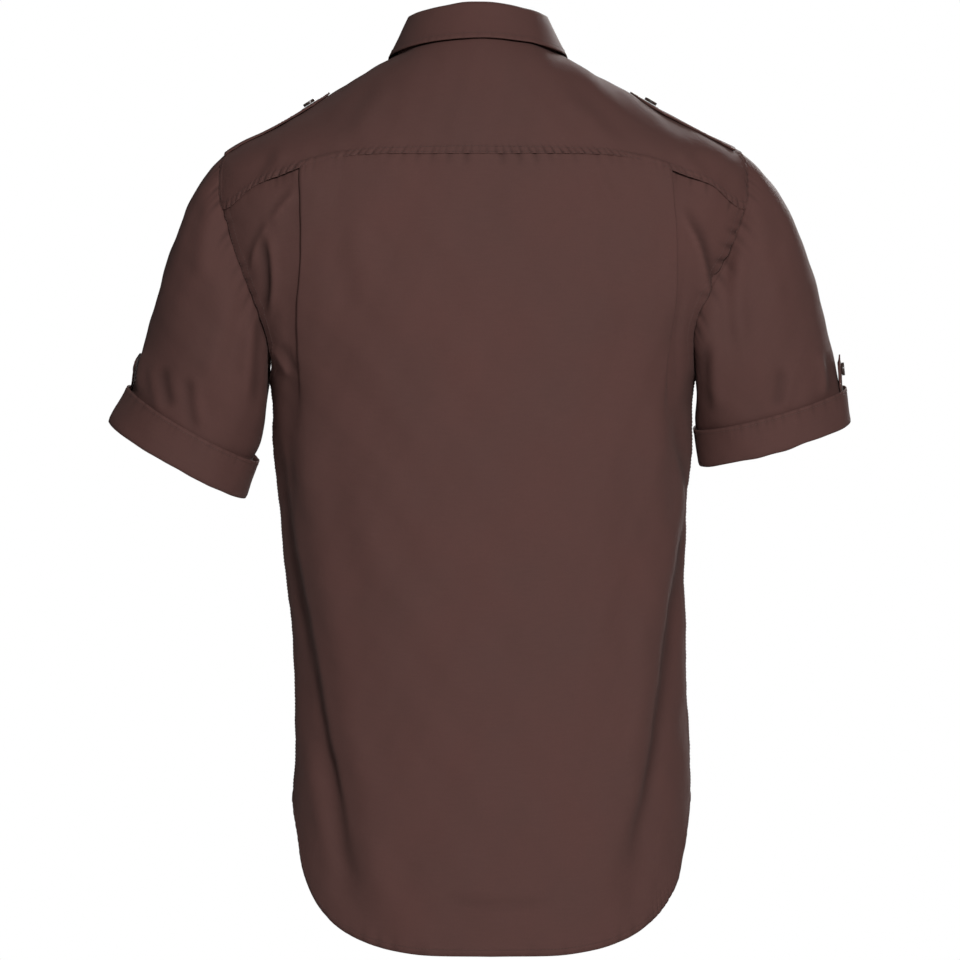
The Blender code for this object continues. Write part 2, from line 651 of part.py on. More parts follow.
def on_shoulder(x, y):
    """The turn and drop of the point of the shoulder above (x, y)."""
    low, high = NECK_DROP, 108.0
    for _ in range(40):
        drop = (low + high) / 2
        depth = BODY["back"](drop) if y > 0 else BODY["front"](drop)
        power = 2.0 / BODY["squareness"](drop)
        aft = min(abs(y) / depth, 1.0) ** (1 / power)
        reach = BODY["half_width"](drop) * (1 - aft ** 2) ** (power / 2)
        if reach < abs(x - BODY["middle"](drop)):
            low = drop
        else:
            high = drop
    angle = np.degrees(np.arccos(aft * np.sign(y))) if y else 90.0
    return angle * np.sign(x), drop


def strap_point(side, length, across, lift):
    x = side * length
    turn, drop = on_shoulder(x, across)
    turn, drop = np.array(turn), np.array(drop)
    normal = outward(turn, drop)
    return body(turn, drop) + normal * lift, normal


# The strap's outline from the armhole to its point: distance from the middle and share of its half width
Outline = namedtuple("Outline", "length width lift")
STRAP = (
    Outline(219.0, 1.08, 2.2), Outline(204.0, 1.06, 2.3), Outline(188.0, 1.03, 2.4), Outline(172.0, 1.0, 2.6),
    Outline(156.0, 0.96, 2.6), Outline(142.0, 0.92, 2.4), Outline(133.0, 0.5, 2.3), Outline(128.5, 0.08, 2.2),
)


def strap_points(side):
    rows = []
    for place in STRAP:
        widths = STRAP_HALF_WIDTH * place.width * np.array([-1.0, -0.6, -0.2, 0.2, 0.6, 1.0])
        rows.append([strap_point(side, place.length, width, place.lift)[0] for width in widths])
    grid = np.array(rows)
    return grid if side > 0 else grid[:, ::-1]


# Blender objects

def cloth_material(name, colour, roughness):
    material = bpy.data.materials.new(name)
    material.use_nodes = True
    shader = material.node_tree.nodes["Principled BSDF"]
    shader.inputs["Base Color"].default_value = colour
    shader.inputs["Roughness"].default_value = roughness
    shader.inputs["Metallic"].default_value = 0.0
    return material


def add_object(name, mesh, colour, roughness):
    piece = bpy.data.objects.new(name, mesh)
    bpy.context.scene.collection.objects.link(piece)
    piece.data.materials.append(cloth_material(name, colour, roughness))
    return piece


def add_cloth(name, grid, around=False, wall=WALL):
    """One piece of cloth: a sheet through the grid's points, given its thickness on both sides."""
    rows, columns = grid.shape[:2]
    faces = []
    for row in range(rows - 1):
        for this in range(columns if around else columns - 1):
            following = (this + 1) % columns
            faces.append((row * columns + this, (row + 1) * columns + this,
                          (row + 1) * columns + following, row * columns + following))
    mesh = bpy.data.meshes.new(name)
    mesh.from_pydata([tuple(point * MM) for point in grid.reshape(-1, 3)], [], faces)
    mesh.update()
    mesh.shade_smooth()
    piece = add_object(name, mesh, CLOTH_COLOUR, 0.85)
    solid = piece.modifiers.new("Wall", "SOLIDIFY")
    solid.thickness = wall * MM
    solid.offset = 0.0
    return piece


def button_mesh():
    """A round button with a rim round a sunk middle, standing on its back face."""
    mesh = bpy.data.meshes.new("button")
    shape = bmesh.new()
    bmesh.ops.create_cone(shape, cap_ends=True, segments=14, radius1=BUTTON_RADIUS * 0.94 * MM,
                          radius2=BUTTON_RADIUS * MM, depth=BUTTON_THICKNESS * MM)
    bmesh.ops.translate(shape, verts=shape.verts, vec=(0.0, 0.0, BUTTON_THICKNESS / 2 * MM))
    top = max(shape.faces, key=lambda face: face.calc_center_median().z)
    bmesh.ops.inset_region(shape, faces=[top], thickness=1.6 * MM, depth=-0.6 * MM)
    shape.to_mesh(mesh)
    shape.free()
    return mesh


def add_button(name, mesh, point, normal):
    piece = add_object(name, mesh.copy(), BUTTON_COLOUR, 0.35)
    piece.location = Vector(point) * MM
    piece.rotation_euler = Vector(normal).to_track_quat("Z", "Y").to_euler()
    return piece


def add_front_buttons(mesh):
    lift = LAYER + WALL / 2 + 0.3
    for index, height in enumerate((-118.0, -207.0, -296.0, -385.0, -474.0, -563.0), start=1):
        point, normal = front_line(height, lift)
        add_button(f"front_button_{index}", mesh, point.reshape(3), normal.reshape(3))
    turn = np.array(180.0)
    low = stand_point(turn, 0.3)
    high = stand_point(turn, 0.7)
    normal = unit(np.cross(np.array([-1.0, 0.0, 0.0]), high - low))
    point = stand_point(turn, 0.5) + normal * (LAYER / 2 + WALL / 2 + 0.3)
    add_button("collar_button", mesh, point, normal)


def add_side_buttons(name, mesh, tab):
    side = ARMHOLES[name].side
    point, normal = strap_point(side, 145.0, 0.0, 2.4 + WALL + 0.3)
    add_button(f"{name}_epaulette_button", mesh, point, normal)
    point = tab[1:3, 2].mean(axis=0)
    normal = grid_normals(tab)[1:3, 2].mean(axis=0)
    normal = normal / np.linalg.norm(normal)
    add_button(f"{name}_sleeve_button", mesh, point + normal * (WALL / 2 + 0.3), normal)


def build():
    for piece in list(bpy.data.objects):
        bpy.data.objects.remove(piece, do_unlink=True)
    add_cloth("back_yoke", trim(yoke_points(), ("top", "bottom", "first", "last")))
    add_cloth("back_panel", trim(back_points(), ("top", "first", "last"), PLEAT_SEAM))
    add_cloth("left_front", trim(front_points("left"), ("top", "first")))
    add_cloth("right_front", trim(front_points("right"), ("top", "last")))
    add_cloth("front_band", trim(band_points(), ("top",)))
    add_cloth("collar_stand", stand_points())
    add_cloth("collar_leaf", leaf_points())
    buttons = button_mesh()
    add_front_buttons(buttons)
    for name in ("left", "right"):
        add_cloth(f"{name}_sleeve", sleeve_points(name), around=True)
        add_cloth(f"{name}_cuff", cuff_points(name), around=True)
        add_cloth(f"{name}_epaulette", strap_points(ARMHOLES[name].side), wall=2.0)
        tab = tab_points(name)
        add_cloth(f"{name}_sleeve_tab", tab)
        add_side_buttons(name, buttons, tab)


build()
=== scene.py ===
"""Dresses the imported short-sleeved military shirt: cloth sheets with folds, seams, stitching and buttons.

The shirt's forms are worked out in millimetres and the meshes hold metres, +Z up, with the front towards -Y
and the wearer's left towards +X. A place on the body is a turn in degrees, 0 at the middle of the back, 90
at the wearer's left side and 180 at the middle of the front, and a drop, the depth below the origin of that
ring at its sides.
"""

import math
from collections import namedtuple

import bpy
import numpy as np
from mathutils import Matrix, Vector


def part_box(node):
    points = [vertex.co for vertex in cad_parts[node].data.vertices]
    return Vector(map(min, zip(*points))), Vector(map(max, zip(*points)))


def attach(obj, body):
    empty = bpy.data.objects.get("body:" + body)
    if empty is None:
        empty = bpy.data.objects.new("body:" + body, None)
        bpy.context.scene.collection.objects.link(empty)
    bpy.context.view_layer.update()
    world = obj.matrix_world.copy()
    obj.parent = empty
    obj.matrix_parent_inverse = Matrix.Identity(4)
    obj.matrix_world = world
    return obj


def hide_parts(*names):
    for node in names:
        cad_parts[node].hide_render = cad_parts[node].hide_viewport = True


bl_info = {
    "name": "Military shirt",
    "version": (1, 0, 0),
    "blender": (4, 5, 0),
    "location": "3D View > Sidebar > Shirt",
    "description": "Builds the cloth, sewing and buttons of a military shirt around its packed solids",
    "category": "Object",
}

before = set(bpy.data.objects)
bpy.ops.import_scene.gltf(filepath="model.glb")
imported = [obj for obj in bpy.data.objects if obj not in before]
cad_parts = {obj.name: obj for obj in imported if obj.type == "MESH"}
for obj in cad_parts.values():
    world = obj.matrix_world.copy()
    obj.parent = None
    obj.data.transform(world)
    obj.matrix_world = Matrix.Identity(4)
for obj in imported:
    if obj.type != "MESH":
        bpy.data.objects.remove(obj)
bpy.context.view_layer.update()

MM = 0.001
BODY = "root"
DETAIL = 6                 # how many rows a sheet has for each of its solid's rows round an armhole

# Driving sizes of the shirt's form, as in its solids
WALL = 1.2               # thickness of one wall of cloth
LAYER = 1.7              # from the middle of one wall to the middle of the next, where one lies on another
NECK_DROP = -6.0         # the ring of the neck seam
TIP_DROP = 80.0          # the ring where the shoulder meets the sleeve
UNDERARM_DROP = 272.0
FRONT_SEAM_TURN = 128.0  # where the yoke's front seam leaves the neck
NECK_FAN_TURN = 56.0     # the neck's place that faces the corner of the yoke seam and the armhole
BAND_COLUMNS = tuple(range(-16, 17, 4))  # each front runs past the middle by half of the band's width
STRAP_HALF_WIDTH = 22.0
TAB_HALF_WIDTH = 14.0
BUTTON_RADIUS = 5.6
BUTTON_THICKNESS = 2.4

# The body's form, a row for each ring from the neck down
Ring = namedtuple("Ring", "drop half_width middle back front rise_back rise_front squareness")
RINGS = (
    Ring(-6.0, 69.0, 2.0, 60.0, 70.0, 15.0, -68.0, 2.0),
    Ring(8.0, 94.0, 1.0, 72.0, 80.0, 10.0, -72.0, 2.05),
    Ring(26.0, 124.0, 0.0, 84.0, 90.0, 4.0, -74.0, 2.1),
    Ring(57.0, 177.0, -2.0, 97.0, 104.0, 2.0, -68.0, 2.2),
    Ring(80.0, 222.0, -3.0, 104.0, 113.0, 0.0, -62.0, 2.3),
    Ring(110.0, 239.0, -3.0, 109.0, 121.0, 0.0, -50.0, 2.35),
    Ring(150.0, 236.0, -3.0, 113.0, 128.0, 0.0, -35.0, 2.35),
    Ring(200.0, 217.0, -3.0, 115.0, 132.0, 0.0, -15.0, 2.35),
    Ring(240.0, 195.0, -2.0, 115.0, 133.0, 0.0, -5.0, 2.3),
    Ring(275.0, 183.0, -2.0, 113.0, 131.0, 0.0, 0.0, 2.3),
    Ring(330.0, 180.0, -2.0, 111.0, 128.0, 0.0, 0.0, 2.3),
    Ring(430.0, 172.0, -4.0, 108.0, 124.0, 0.0, 0.0, 2.3),
    Ring(550.0, 168.5, -10.0, 108.0, 122.0, 0.0, 0.0, 2.3),
    Ring(636.0, 171.0, -10.0, 110.0, 122.0, 0.0, 0.0, 2.3),
    Ring(780.0, 172.0, -10.0, 112.0, 124.0, 0.0, 0.0, 2.3),
)

# The shirt-tail hem: its height at each turn from the middle of the back to the middle of the front
Hem = namedtuple("Hem", "turn height")
HEM = (
    Hem(0.0, -770.0), Hem(20.0, -768.0), Hem(34.0, -760.0), Hem(51.0, -740.0), Hem(60.0, -722.0),
    Hem(67.0, -704.0), Hem(75.0, -673.0), Hem(82.0, -651.0), Hem(90.0, -636.0), Hem(98.0, -648.0),
    Hem(106.0, -672.0), Hem(116.0, -698.0), Hem(132.0, -718.0), Hem(150.0, -729.0), Hem(180.0, -734.0),
)

# The armholes: how far the seam reaches from the side, in degrees, towards the back and the front
Armhole = namedtuple("Armhole", "side back front extra_back")
ARMHOLES = {
    "left": Armhole(1.0, 25.0, 28.0, 0.0),
    "right": Armhole(-1.0, 25.0, 28.0, 5.5),
}
ARMHOLE_YOKE_BACK = 60.0     # degrees round the armhole from its top to the back yoke seam
ARMHOLE_YOKE_FRONT = 315.0   # and to the front yoke seam

# The back yoke's seam: its height at each share of the way from the middle of the back to an armhole
Seam = namedtuple("Seam", "share height")
YOKE_SEAM = (
    Seam(0.0, -81.0), Seam(0.3, -81.5), Seam(0.4, -83.0), Seam(0.5, -87.5), Seam(0.62, -97.0),
    Seam(0.74, -105.0), Seam(0.86, -112.0), Seam(1.0, -122.5),
)

# The two long pleats of the back: their column, as a share of the half width, their path down the back, and
# how deep the cloth is laid over itself
Place = namedtuple("Place", "height x")
Pleat = namedtuple("Pleat", "share path half_zone depth step full_height end_height flat_height")
PLEATS = (
    Pleat(0.56, (Place(-95, 151), Place(-165, 150), Place(-235, 154), Place(-310, 156), Place(-430, 157)),
          0.07, 10.5, 2.0, -190.0, -330.0, -430.0),
    Pleat(-0.585,
          (Place(-95, -162), Place(-155, -165), Place(-205, -163), Place(-310, -159), Place(-430, -158)),
          0.07, 10.5, 2.0, -190.0, -330.0, -430.0),
)
PLEAT_COLUMNS = np.interp(np.linspace(0.0, 1.0, 45), np.linspace(0.0, 1.0, 11),
                          np.array([0.0, 0.12, 0.22, 0.3, 0.38, 0.5, 0.62, 0.7, 0.78, 0.88, 1.0]))

# The largest soft folds of the back: their path across the back at five heights, their width, how far the
# ridge on the inner side stands out and how far the trough on the outer side sinks in
Fold = namedtuple("Fold", "path width ridge trough")
BACK_FOLDS = (
    Fold((Place(-280, 176), Place(-415, 156), Place(-522, 136), Place(-638, 115), Place(-735, 96)),
         15.0, 2.5, 6.0),
    Fold((Place(-275, -163), Place(-378, -176), Place(-470, -161), Place(-594, -142), Place(-735, -116)),
         14.0, 3.0, 7.0),
)

# The collar's fall: where each place on the stand's top edge ends on the body
Fall = namedtuple("Fall", "turn edge_turn edge_drop stand_off")
FALLS = (
    Fall(0.0, 0.0, -3.0, 5.0),
    Fall(45.0, 45.0, -3.0, 4.6),
    Fall(90.0, 90.0, -3.0, 3.2),
    Fall(115.0, 110.0, 1.0, 3.4),
    Fall(135.0, 127.0, 8.0, 3.8),
    Fall(155.0, 142.0, 19.0, 4.0),
    Fall(176.0, 156.0, 31.0, 4.0),
)
COLLAR_TOP = Ring(0.0, 56.0, 2.0, 46.0, 60.0, 10.5, -71.0, 2.0)
COLLAR_TOP_HEIGHT = 37.0

# The sleeves. The start is where the cloth leaves the armhole, the end is where the cuff's top edge lies.
# Each line's way out and down is the pull of the curve at that end.
SleeveLine = namedtuple("SleeveLine", "start_out start_down end_out end_down")
Sleeve = namedtuple("Sleeve", "side top under cuff_top_outer cuff_top_inner cuff_end_outer cuff_end_inner "
                              "cuff_gap_inner tab_turn")
SLEEVES = {
    "left": Sleeve(1.0,
                   SleeveLine(42.0, 31.0, 21.0, 77.0), SleeveLine(0.0, 26.0, 10.0, 17.0),
                   (300.0, -283.0), (196.5, -341.0), (318.5, -310.5), (204.5, -374.0), 6.0, -22.0),
    "right": Sleeve(-1.0,
                    SleeveLine(51.0, 32.0, 14.0, 69.0), SleeveLine(1.0, 20.0, 2.0, 12.0),
                    (311.0, -282.0), (187.5, -315.5), (319.0, -310.0), (191.0, -346.5), 2.4, 0.0),
}
SLEEVE_DEPTH = 56.0          # half of the sleeve's width from front to back, at the cuff
SLEEVE_FORWARD = 13.0        # how far the cuff lies in front of the middle
CUFF_TILT = 0.14             # the cuff's back edge hangs lower than its front edge
CUFF_GAP = 2.6               # from the sleeve's wall to the cuff's wall
CUFF_GAP_TAB = 5.4           # the same where the tab passes between them


def smooth_curve(knots, values):
    """A smooth curve through the values, each slope set by its two neighbours."""
    knots = np.asarray(knots, float)
    values = np.asarray(values, float)
    runs = np.diff(knots)
    rises = np.diff(values) / runs
    slopes = np.empty_like(values)
    slopes[0] = rises[0]
    slopes[-1] = rises[-1]
    slopes[1:-1] = (runs[1:] * rises[:-1] + runs[:-1] * rises[1:]) / (runs[1:] + runs[:-1])

    def read(place):
        place = np.clip(np.asarray(place, float), knots[0], knots[-1])
        index = np.clip(np.searchsorted(knots, place, side="right") - 1, 0, len(runs) - 1)
        run = runs[index]
        t = (place - knots[index]) / run
        lower = (1 + 2 * t) * (1 - t) ** 2 * values[index] + t * (1 - t) ** 2 * run * slopes[index]
        upper = t * t * (3 - 2 * t) * values[index + 1] - t * t * (1 - t) * run * slopes[index + 1]
        return lower + upper

    return read


def column(rows, name):
    return [getattr(row, name) for row in rows]


def smooth_step(low, high, value):
    """0 at low and before it, 1 at high and past it; low may be the larger."""
    t = np.clip((value - low) / (high - low), 0.0, 1.0)
    return t * t * (3 - 2 * t)


def path_x(path):
    """A path across the cloth, read by height."""
    return smooth_curve(column(path, "height")[::-1], column(path, "x")[::-1])


BODY_FORM = {name: smooth_curve(column(RINGS, "drop"), column(RINGS, name)) for name in Ring._fields[1:]}
HEM_HEIGHT = smooth_curve(column(HEM, "turn"), column(HEM, "height"))
SEAM_HEIGHT = smooth_curve(column(YOKE_SEAM, "share"), column(YOKE_SEAM, "height"))


def ring_point(turn, ring, height):
    """A point of one ring, whose sides lie at the given height."""
    angle = np.radians(turn)
    side = np.sin(angle)
    aft = np.cos(angle)
    power = 2.0 / ring["squareness"]
    x = ring["middle"] + ring["half_width"] * np.sign(side) * np.abs(side) ** power
    y = np.where(aft > 0, ring["back"], ring["front"]) * np.sign(aft) * np.abs(aft) ** power
    z = height + np.where(aft > 0, ring["rise_back"], ring["rise_front"]) * aft ** 2
    return np.stack(np.broadcast_arrays(x, y, z), axis=-1)


def body(turn, drop):
    """A point on the body's form."""
    drop = np.asarray(drop, float)
    ring = {name: read(drop) for name, read in BODY_FORM.items()}
    return ring_point(np.asarray(turn, float), ring, -drop)


def unit(vectors):
    return vectors / np.maximum(np.linalg.norm(vectors, axis=-1, keepdims=True), 1e-9)


def outward(turn, drop):
    """The outward direction of the body's form."""
    round_step = body(turn + 0.5, drop) - body(turn - 0.5, drop)
    down_step = body(turn, drop + 0.5) - body(turn, drop - 0.5)
    return unit(np.cross(round_step, down_step))


def drop_at_height(turn, height):
    """The ring that passes through a height at a turn, by halving."""
    low = np.full(np.shape(turn), NECK_DROP)
    high = np.full(np.shape(turn), 780.0)
    for _ in range(40):
        middle = (low + high) / 2
        above = body(turn, middle)[..., 2] > height
        low = np.where(above, middle, low)
        high = np.where(above, high, middle)
    return (low + high) / 2


def armhole(name, around):
    """The armhole seam as turn and drop; around is 0 at its top, 90 at the back, 180 at the underarm."""
    shape = ARMHOLES[name]
    angle = np.radians(around)
    reach = np.abs(np.sin(angle)) ** 0.75
    low_back = np.exp(-((np.asarray(around) - 112.0) / 26.0) ** 2)
    back = 90.0 - shape.back * reach - shape.extra_back * low_back
    front = 90.0 + shape.front * reach
    turn = np.where(np.sin(angle) >= 0, back, front)
    drop = TIP_DROP + (UNDERARM_DROP - TIP_DROP) * (1 - np.cos(angle)) / 2
    return shape.side * turn, drop


def arc(first, last, steps):
    return np.linspace(first, last, steps + 1)


def armhole_samples():
    """The places round an armhole that all its neighbours share."""
    yoke_back = arc(0.0, ARMHOLE_YOKE_BACK, 4 * DETAIL)
    back = arc(ARMHOLE_YOKE_BACK, 180.0, 8 * DETAIL)
    front = arc(180.0, ARMHOLE_YOKE_FRONT, 8 * DETAIL)
    yoke_front = arc(ARMHOLE_YOKE_FRONT, 360.0, 4 * DETAIL)
    return yoke_back, back, front, yoke_front


YOKE_BACK, BACK_EDGE, FRONT_EDGE, YOKE_FRONT = armhole_samples()


def seam_places(turns):
    """The back yoke seam as turn and drop, joined to the armholes at its ends."""
    left_turn, left_drop = armhole("left", ARMHOLE_YOKE_BACK)
    right_turn, right_drop = armhole("right", ARMHOLE_YOKE_BACK)
    edge_turn = np.where(turns > 0, left_turn, -right_turn)
    share = np.abs(turns) / edge_turn
    drops = drop_at_height(turns, SEAM_HEIGHT(share))
    join = smooth_step(0.75, 1.0, share)
    edge_drop = np.where(turns > 0, left_drop, right_drop)
    return np.stack([turns, drops + join * (edge_drop - drops)], axis=-1)


def patch(top, bottom, first, last, across, down_first, down_middle, down_last):
    """Places inside four edges. The first and last edges hold a (turn, drop) for each row, and the top and
    bottom ones hold one for each column or for each place of the grid. The rows' shares of the way down may
    differ at the first edge, in the middle and at the last edge."""
    u = np.broadcast_to(across, (len(down_middle), np.shape(across)[-1]))
    near_first = np.maximum(1 - 2 * u, 0.0) ** 2
    near_last = np.maximum(2 * u - 1, 0.0) ** 2
    v = down_middle[:, None] * (1 - near_first - near_last)
    v = v + down_first[:, None] * near_first + down_last[:, None] * near_last
    places = (1 - v)[..., None] * top + v[..., None] * bottom
    for edge, down, weight in ((first, down_first, (1 - u) ** 2), (last, down_last, u ** 2)):
        straight = edge[0] + (edge[-1] - edge[0]) * down[:, None]
        places = places + weight[..., None] * (edge - straight)[:, None]
    return places


def grid_normals(grid, around=False):
    """The outward direction at each point of a grid of points."""
    if around:
        across = np.roll(grid, -1, axis=1) - np.roll(grid, 1, axis=1)
    else:
        across = np.gradient(grid, axis=1)
    return unit(np.cross(across, np.gradient(grid, axis=0)))


# The back

def fold_relief(points):
    """How far the large soft folds of the back move each point outwards."""
    relief = np.zeros(points.shape[:-1])
    for fold in BACK_FOLDS:
        top, end = fold.path[0], fold.path[-1]
        away = (points[..., 0] - path_x(fold.path)(points[..., 2])) * np.sign(end.x) / fold.width
        fade = smooth_step(top.height, top.height - 90.0, points[..., 2])
        fade = fade * smooth_step(end.height - 30.0, end.height + 60.0, points[..., 2])
        wave = fold.ridge * np.exp(-(away + 1.1) ** 2) - fold.trough * np.exp(-(away - 1.0) ** 2)
        relief += fade * wave
    return relief


def lay_pleats(points, columns):
    """Lays the back's cloth over itself along each pleat, the middle of the back on top."""
    normals = grid_normals(points)
    along = unit(np.gradient(points, axis=1))
    moved = points.copy()
    for pleat in PLEATS:
        side = np.sign(pleat.share)
        zone = (columns - pleat.share) * side / pleat.half_zone
        t = (zone + 1.0) / 2.0
        lie = smooth_step(pleat.end_height, pleat.full_height, points[..., 2])
        lift = smooth_step(pleat.flat_height, pleat.end_height, points[..., 2])
        inside = (np.abs(zone) < 1.0)[None, :]
        slide = np.where(inside, pleat.depth * np.sin(2 * np.pi * t)[None, :] * lie, 0.0)
        folded = 1.0 - smooth_step(0.22, 0.38, t) - smooth_step(0.62, 0.78, t)
        plain = np.cos(np.pi * np.clip(t, 0.0, 1.0))
        level = folded[None, :] * lie ** 2 + plain[None, :] * (1 - lie ** 2)
        beyond = np.exp(-(np.maximum(np.abs(zone) - 1.0, 0.0) / 1.3) ** 2)[None, :]
        moved += normals * (pleat.step * level * beyond * lift)[..., None]
        moved += along * side * slide[..., None]
    return moved


def back_columns():
    """The back's columns as shares of its half width, close together where a pleat turns."""
    left, right = PLEATS
    left_zone = left.share + (PLEAT_COLUMNS * 2 - 1) * left.half_zone
    right_zone = right.share + (PLEAT_COLUMNS * 2 - 1) * right.half_zone
    return np.concatenate([arc(-1.0, right_zone[0], 24)[:-1], right_zone[:-1],
                           arc(right_zone[-1], left_zone[0], 66)[:-1], left_zone[:-1],
                           arc(left_zone[-1], 1.0, 24)])


def follow_pleats(columns, points):
    """The columns of each row, moved so that the pleats follow their own paths over these points."""
    left, right = PLEATS
    knots = np.array([-1.0, right.share - right.half_zone, right.share + right.half_zone,
                      left.share - left.half_zone, left.share + left.half_zone, 1.0])
    rows = []
    for row in points:
        moves = []
        for pleat in (right, left):
            height = np.interp(pleat.share, columns, row[:, 2])
            place = np.interp(path_x(pleat.path)(height), row[:, 0], columns)
            moves.append(place - pleat.share)
        moved = knots + np.array([0.0, moves[0], moves[0], moves[1], moves[1], 0.0])
        rows.append(np.interp(columns, knots, moved))
    return np.array(rows)


SIDE_SEAM_DROPS = arc(UNDERARM_DROP, -HEM_HEIGHT(90.0), 14 * DETAIL)[1:]


def panel_edge(name, around):
    """A panel's edge down the armhole and then the side seam."""
    turn, drop = armhole(name, around)
    side = ARMHOLES[name].side
    turns = np.concatenate([turn, np.full(len(SIDE_SEAM_DROPS), side * 90.0)])
    drops = np.concatenate([drop, SIDE_SEAM_DROPS])
    return np.stack([turns, drops], axis=-1)


def rows_of(edge):
    drops = edge[:, 1]
    return (drops - drops[0]) / (drops[-1] - drops[0])


def hem_places(turns):
    return np.stack([turns, drop_at_height(turns, HEM_HEIGHT(np.abs(turns)))], axis=-1)


def top_turns(shares):
    """The turns of the yoke seam at shares of the half width."""
    left_turn = armhole("left", ARMHOLE_YOKE_BACK)[0]
    right_turn = -armhole("right", ARMHOLE_YOKE_BACK)[0]
    return shares * np.where(shares > 0, left_turn, right_turn)


def back_places(shares):
    """The back as turns and drops, with the given columns in each row."""
    first = panel_edge("right", BACK_EDGE)
    last = panel_edge("left", BACK_EDGE)
    even = np.linspace(0.0, 1.0, len(first))
    return patch(seam_places(top_turns(shares)), hem_places(shares * 90.0), first, last,
                 (shares + 1) / 2, rows_of(first), even, rows_of(last))


def back_points():
    columns = back_columns()
    rows = len(BACK_EDGE) + len(SIDE_SEAM_DROPS)
    places = back_places(np.tile(columns, (rows, 1)))
    shares = follow_pleats(columns, body(places[..., 0], places[..., 1]))
    places = back_places(shares)
    points = body(places[..., 0], places[..., 1])
    normals = outward(places[..., 0], places[..., 1])
    seam_fade = smooth_step(1.0, 0.8, np.abs(shares))
    points = points + normals * (seam_fade * fold_relief(points))[..., None]
    return lay_pleats(points, columns)


# The yoke

def yoke_points():
    left_front = np.stack(armhole("left", YOKE_FRONT[:-1]), axis=-1)
    left_back = np.stack(armhole("left", YOKE_BACK), axis=-1)
    right_back = np.stack(armhole("right", YOKE_BACK[::-1]), axis=-1)
    right_front = np.stack(armhole("right", YOKE_FRONT[::-1][1:]), axis=-1)
    columns = arc(1.0, -1.0, 300)
    seam = seam_places(top_turns(columns))
    outer = np.concatenate([left_front, left_back[:-1], seam, right_back[1:], right_front])
    sides = len(left_front) + len(left_back) - 1
    neck_turns = np.concatenate([arc(FRONT_SEAM_TURN, NECK_FAN_TURN, sides)[:-1], columns * NECK_FAN_TURN,
                                 arc(-NECK_FAN_TURN, -FRONT_SEAM_TURN, sides)[1:]])
    neck = np.stack([neck_turns, np.full(len(neck_turns), NECK_DROP)], axis=-1)
    down = 1.0 - (1.0 - arc(0.0, 1.0, 50)) ** 1.3
    first = neck[0] + (outer[0] - neck[0]) * down[:, None]
    last = neck[-1] + (outer[-1] - neck[-1]) * down[:, None]
    across = np.linspace(0.0, 1.0, len(neck_turns))
    places = patch(neck, outer, first, last, across, down, down, down)
    return body(places[..., 0], places[..., 1])[:, ::-1]


# The fronts

def front_turns(side, x, drops):
    """The turns of the front's rings at x, counted from that front's own side past the middle."""
    share = (x - side * BODY_FORM["middle"](drops)) / BODY_FORM["half_width"](drops)
    power = 2.0 / BODY_FORM["squareness"](drops)
    return side * (180.0 - np.degrees(np.arcsin(np.sign(share) * np.abs(share) ** (1 / power))))


def hem_drops(turns):
    """The rings where the hem lies, also past the middle of the front."""
    folded = np.where(np.abs(turns) > 180.0, 360.0 - np.abs(turns), np.abs(turns))
    return drop_at_height(turns, HEM_HEIGHT(folded))


def front_places(name):
    """A front as turns and drops, from its edge past the middle to the armhole and side seam."""
    side = ARMHOLES[name].side
    edge = panel_edge(name, FRONT_EDGE[::-1])
    even = np.linspace(0.0, 1.0, len(edge))
    middle_drops = NECK_DROP + (hem_drops(np.array(180.0)) - NECK_DROP) * even
    strip = [np.stack([front_turns(side, x, middle_drops), middle_drops], axis=-1) for x in BAND_COLUMNS]
    strip = np.stack(strip, axis=1)
    inner = strip[:, -1]
    neck_turns = arc(inner[0, 0], side * FRONT_SEAM_TURN, 28)
    neck = np.stack([neck_turns, np.full(len(neck_turns), NECK_DROP)], axis=-1)
    seam = neck[-1] + (edge[0] - neck[-1]) * arc(0.0, 1.0, 42)[1:, None]
    top = np.concatenate([neck, seam])
    across = np.linspace(0.0, 1.0, len(top))
    bottom_turns = inner[-1, 0] + (edge[-1, 0] - inner[-1, 0]) * (1 - (1 - across) ** 1.4)
    bottom = np.stack([bottom_turns, hem_drops(bottom_turns)], axis=-1)
    bottom[0] = inner[-1]
    main = patch(top, bottom, inner, edge, across, even, even, rows_of(edge))
    return np.concatenate([strip[:, :-1], main], axis=1)


def front_points(name):
    """A front; the right one runs under the left one at the middle."""
    side = ARMHOLES[name].side
    places = front_places(name)
    points = body(places[..., 0], places[..., 1])
    if side < 0:
        normals = outward(places[..., 0], places[..., 1])
        sunk = LAYER * smooth_step(62.0, 30.0, side * points[..., 0])
        return points - normals * sunk[..., None]
    return points[:, ::-1]


def band_points():
    """The buttonhole band, on the left front's edge."""
    places = front_places("left")[:, :len(BAND_COLUMNS)]
    normals = outward(places[..., 0], places[..., 1])
    return (body(places[..., 0], places[..., 1]) + normals * LAYER)[:, ::-1]


def front_line(height, lift):
    """A point over the middle of the front, and the outward direction there."""
    drop = drop_at_height(np.array(180.0), height)
    turn = front_turns(1.0, 0.0, drop)
    normal = outward(turn, drop)
    return body(turn, drop) + normal * lift, normal


# The collar

def stand_point(turn, share, lift=0.0):
    """A point of the collar stand; share is 0 at the neck seam and 1 at the top edge."""
    low = body(turn, NECK_DROP)
    ring = {name: getattr(COLLAR_TOP, name) for name in Ring._fields[1:]}
    high = ring_point(np.asarray(turn, float), ring, COLLAR_TOP_HEIGHT)
    flat = unit((high + low) * np.array([1.0, 1.0, 0.0]))
    return low + (high - low) * np.asarray(share)[..., None] + flat * np.asarray(lift)[..., None]


